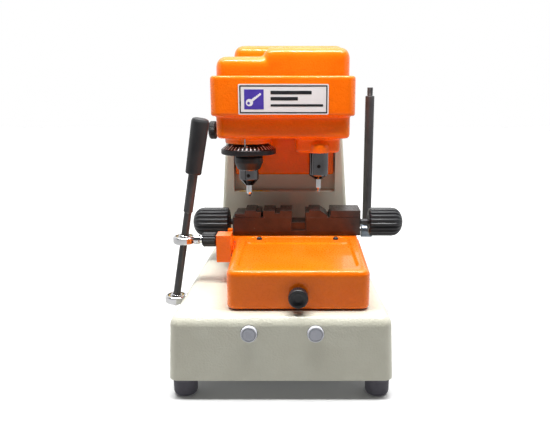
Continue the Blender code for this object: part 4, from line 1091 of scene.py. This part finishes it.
# Round nodes with smooth faces: material, least angle that stays sharp, nodes.
SMOOTHED = (
    (CHROME, 40, ("left_guide_rod", "right_guide_rod")),
    (STEEL, 100, ("left_return_spring", "right_return_spring")),
    (ALUMINIUM, 35, ("motor_housing", "motor_pulley", "spindle_pulley")),
    (STEEL, 35, ("spindle_bearings",)),
    (BELT, 35, ("drive_belt",)),
)


def carry_nodes():
    for material, bevel, angle, nodes in EDGED:
        for node in nodes:
            carry(node, material, bevel, angle)
    for material, smooth, nodes in SMOOTHED:
        for node in nodes:
            carry(node, material, smooth=smooth)


# ---- stage, light and camera

def area(name, at, aim, size, energy):
    light = bpy.data.lights.new(name, "AREA")
    light.shape = "RECTANGLE"
    light.size, light.size_y = size
    light.energy = energy
    obj = placed(name, light)
    obj.location = at
    obj.rotation_euler = (Vector(aim) - Vector(at)).to_track_quat("-Z", "Y").to_euler()
    obj.visible_camera = False


# What the camera sees of the floor, and what lights the machine from it.
FLOOR_SEEN, FLOOR_LIT = 0.92, 0.37
GLOW_LIT, GLOW_SEEN, GLOW_NEAR, GLOW_FAR = 0.17, 0.5, 0.22, 0.9
# Name, place, aim, size and watts of each light.
LIGHTS = (
    ("overhead", (0.0, 0.12, 1.0), (0, 0.12, 0), (1.4, 0.85), 10.0),
    ("front_softbox", (0.0, -0.11, 0.74), (0, -0.11, 0.1), (0.62, 0.11), 3.0),
    ("edge_strip", (0.0, -0.19, 0.80), (0, -0.10, 0.2), (0.72, 0.022), 4.0),
)


def make_stage():
    bm = bmesh.new()
    bmesh.ops.create_grid(bm, x_segments=2, y_segments=2, size=4.0)
    floor = placed("floor", mesh_of(bm, "floor"))
    floor.location.z = -0.0001
    material, tree, shader, coords = shader_tree("floor_paper")
    path = add(tree, "ShaderNodeLightPath").outputs["Is Camera Ray"]
    tree.links.new(ramp(tree, path, 0.0, 1.0, (FLOOR_LIT,) * 3, (FLOOR_SEEN,) * 3),
                   shader.inputs["Base Color"])
    shader.inputs["Roughness"].default_value = 0.5
    shader.inputs["Emission Color"].default_value = (1, 1, 1, 1)
    away = add(tree, "ShaderNodeVectorMath", operation="LENGTH")
    tree.links.new(coords, away.inputs[0])
    glow = add(tree, "ShaderNodeMix")
    tree.links.new(path, glow.inputs["Factor"])
    glow.inputs["A"].default_value = GLOW_LIT
    tree.links.new(ramp(tree, away.outputs["Value"], GLOW_NEAR, GLOW_FAR, 0.0, GLOW_SEEN),
                   glow.inputs["B"])
    tree.links.new(glow.outputs["Result"], shader.inputs["Emission Strength"])
    floor.data.materials.append(material)
    world = bpy.data.worlds.new("studio")
    world.use_nodes = True
    bpy.context.scene.world = world
    tree = world.node_tree
    background = tree.nodes["Background"]
    background.inputs["Color"].default_value = (1, 1, 1, 1)
    coords = add(tree, "ShaderNodeTexCoord").outputs["Generated"]
    split = add(tree, "ShaderNodeSeparateXYZ")
    tree.links.new(coords, split.inputs["Vector"])
    shade = ramp(tree, split.outputs["Y"], -0.2, 0.5, 0.07, 1.0)
    side = add(tree, "ShaderNodeMath", operation="ABSOLUTE")
    tree.links.new(split.outputs["X"], side.inputs[0])
    widest = add(tree, "ShaderNodeMath", operation="MAXIMUM")
    tree.links.new(shade, widest.inputs[0])
    tree.links.new(ramp(tree, side.outputs["Value"], 0.8, 0.95, 0.0, 0.9), widest.inputs[1])
    path = add(tree, "ShaderNodeLightPath").outputs["Is Camera Ray"]
    choose = add(tree, "ShaderNodeMix")
    tree.links.new(path, choose.inputs["Factor"])
    tree.links.new(widest.outputs["Value"], choose.inputs["A"])
    choose.inputs["B"].default_value = 1.0
    tree.links.new(choose.outputs["Result"], background.inputs["Strength"])
    for light in LIGHTS:
        area(*light)


# The camera fitted to the photograph.
LENS, SENSOR, SHIFT_X = 37.96, 36.0, -0.0355
CAMERA_AT, CAMERA_PITCH = (0.00565, -0.6659, 0.2905), 77.37


def make_camera():
    camera = bpy.data.cameras.new("camera")
    camera.lens = LENS
    camera.sensor_width = SENSOR
    camera.shift_x = SHIFT_X
    obj = placed("camera", camera)
    obj.location = CAMERA_AT
    obj.rotation_euler = (math.radians(CAMERA_PITCH), 0, 0)
    bpy.context.scene.camera = obj


bpy.context.scene.view_settings.view_transform = "Standard"
make_camera()
make_stage()
make_base()
make_feet()
make_buttons()
make_column()
make_head()
make_cover()
make_plate()
make_cutter()
make_tracer()
make_dial()
make_tracer_knob()
make_tray()
make_vise_knobs()
make_rod_ends()
make_lever()
make_feed_lever()
carry_nodes()
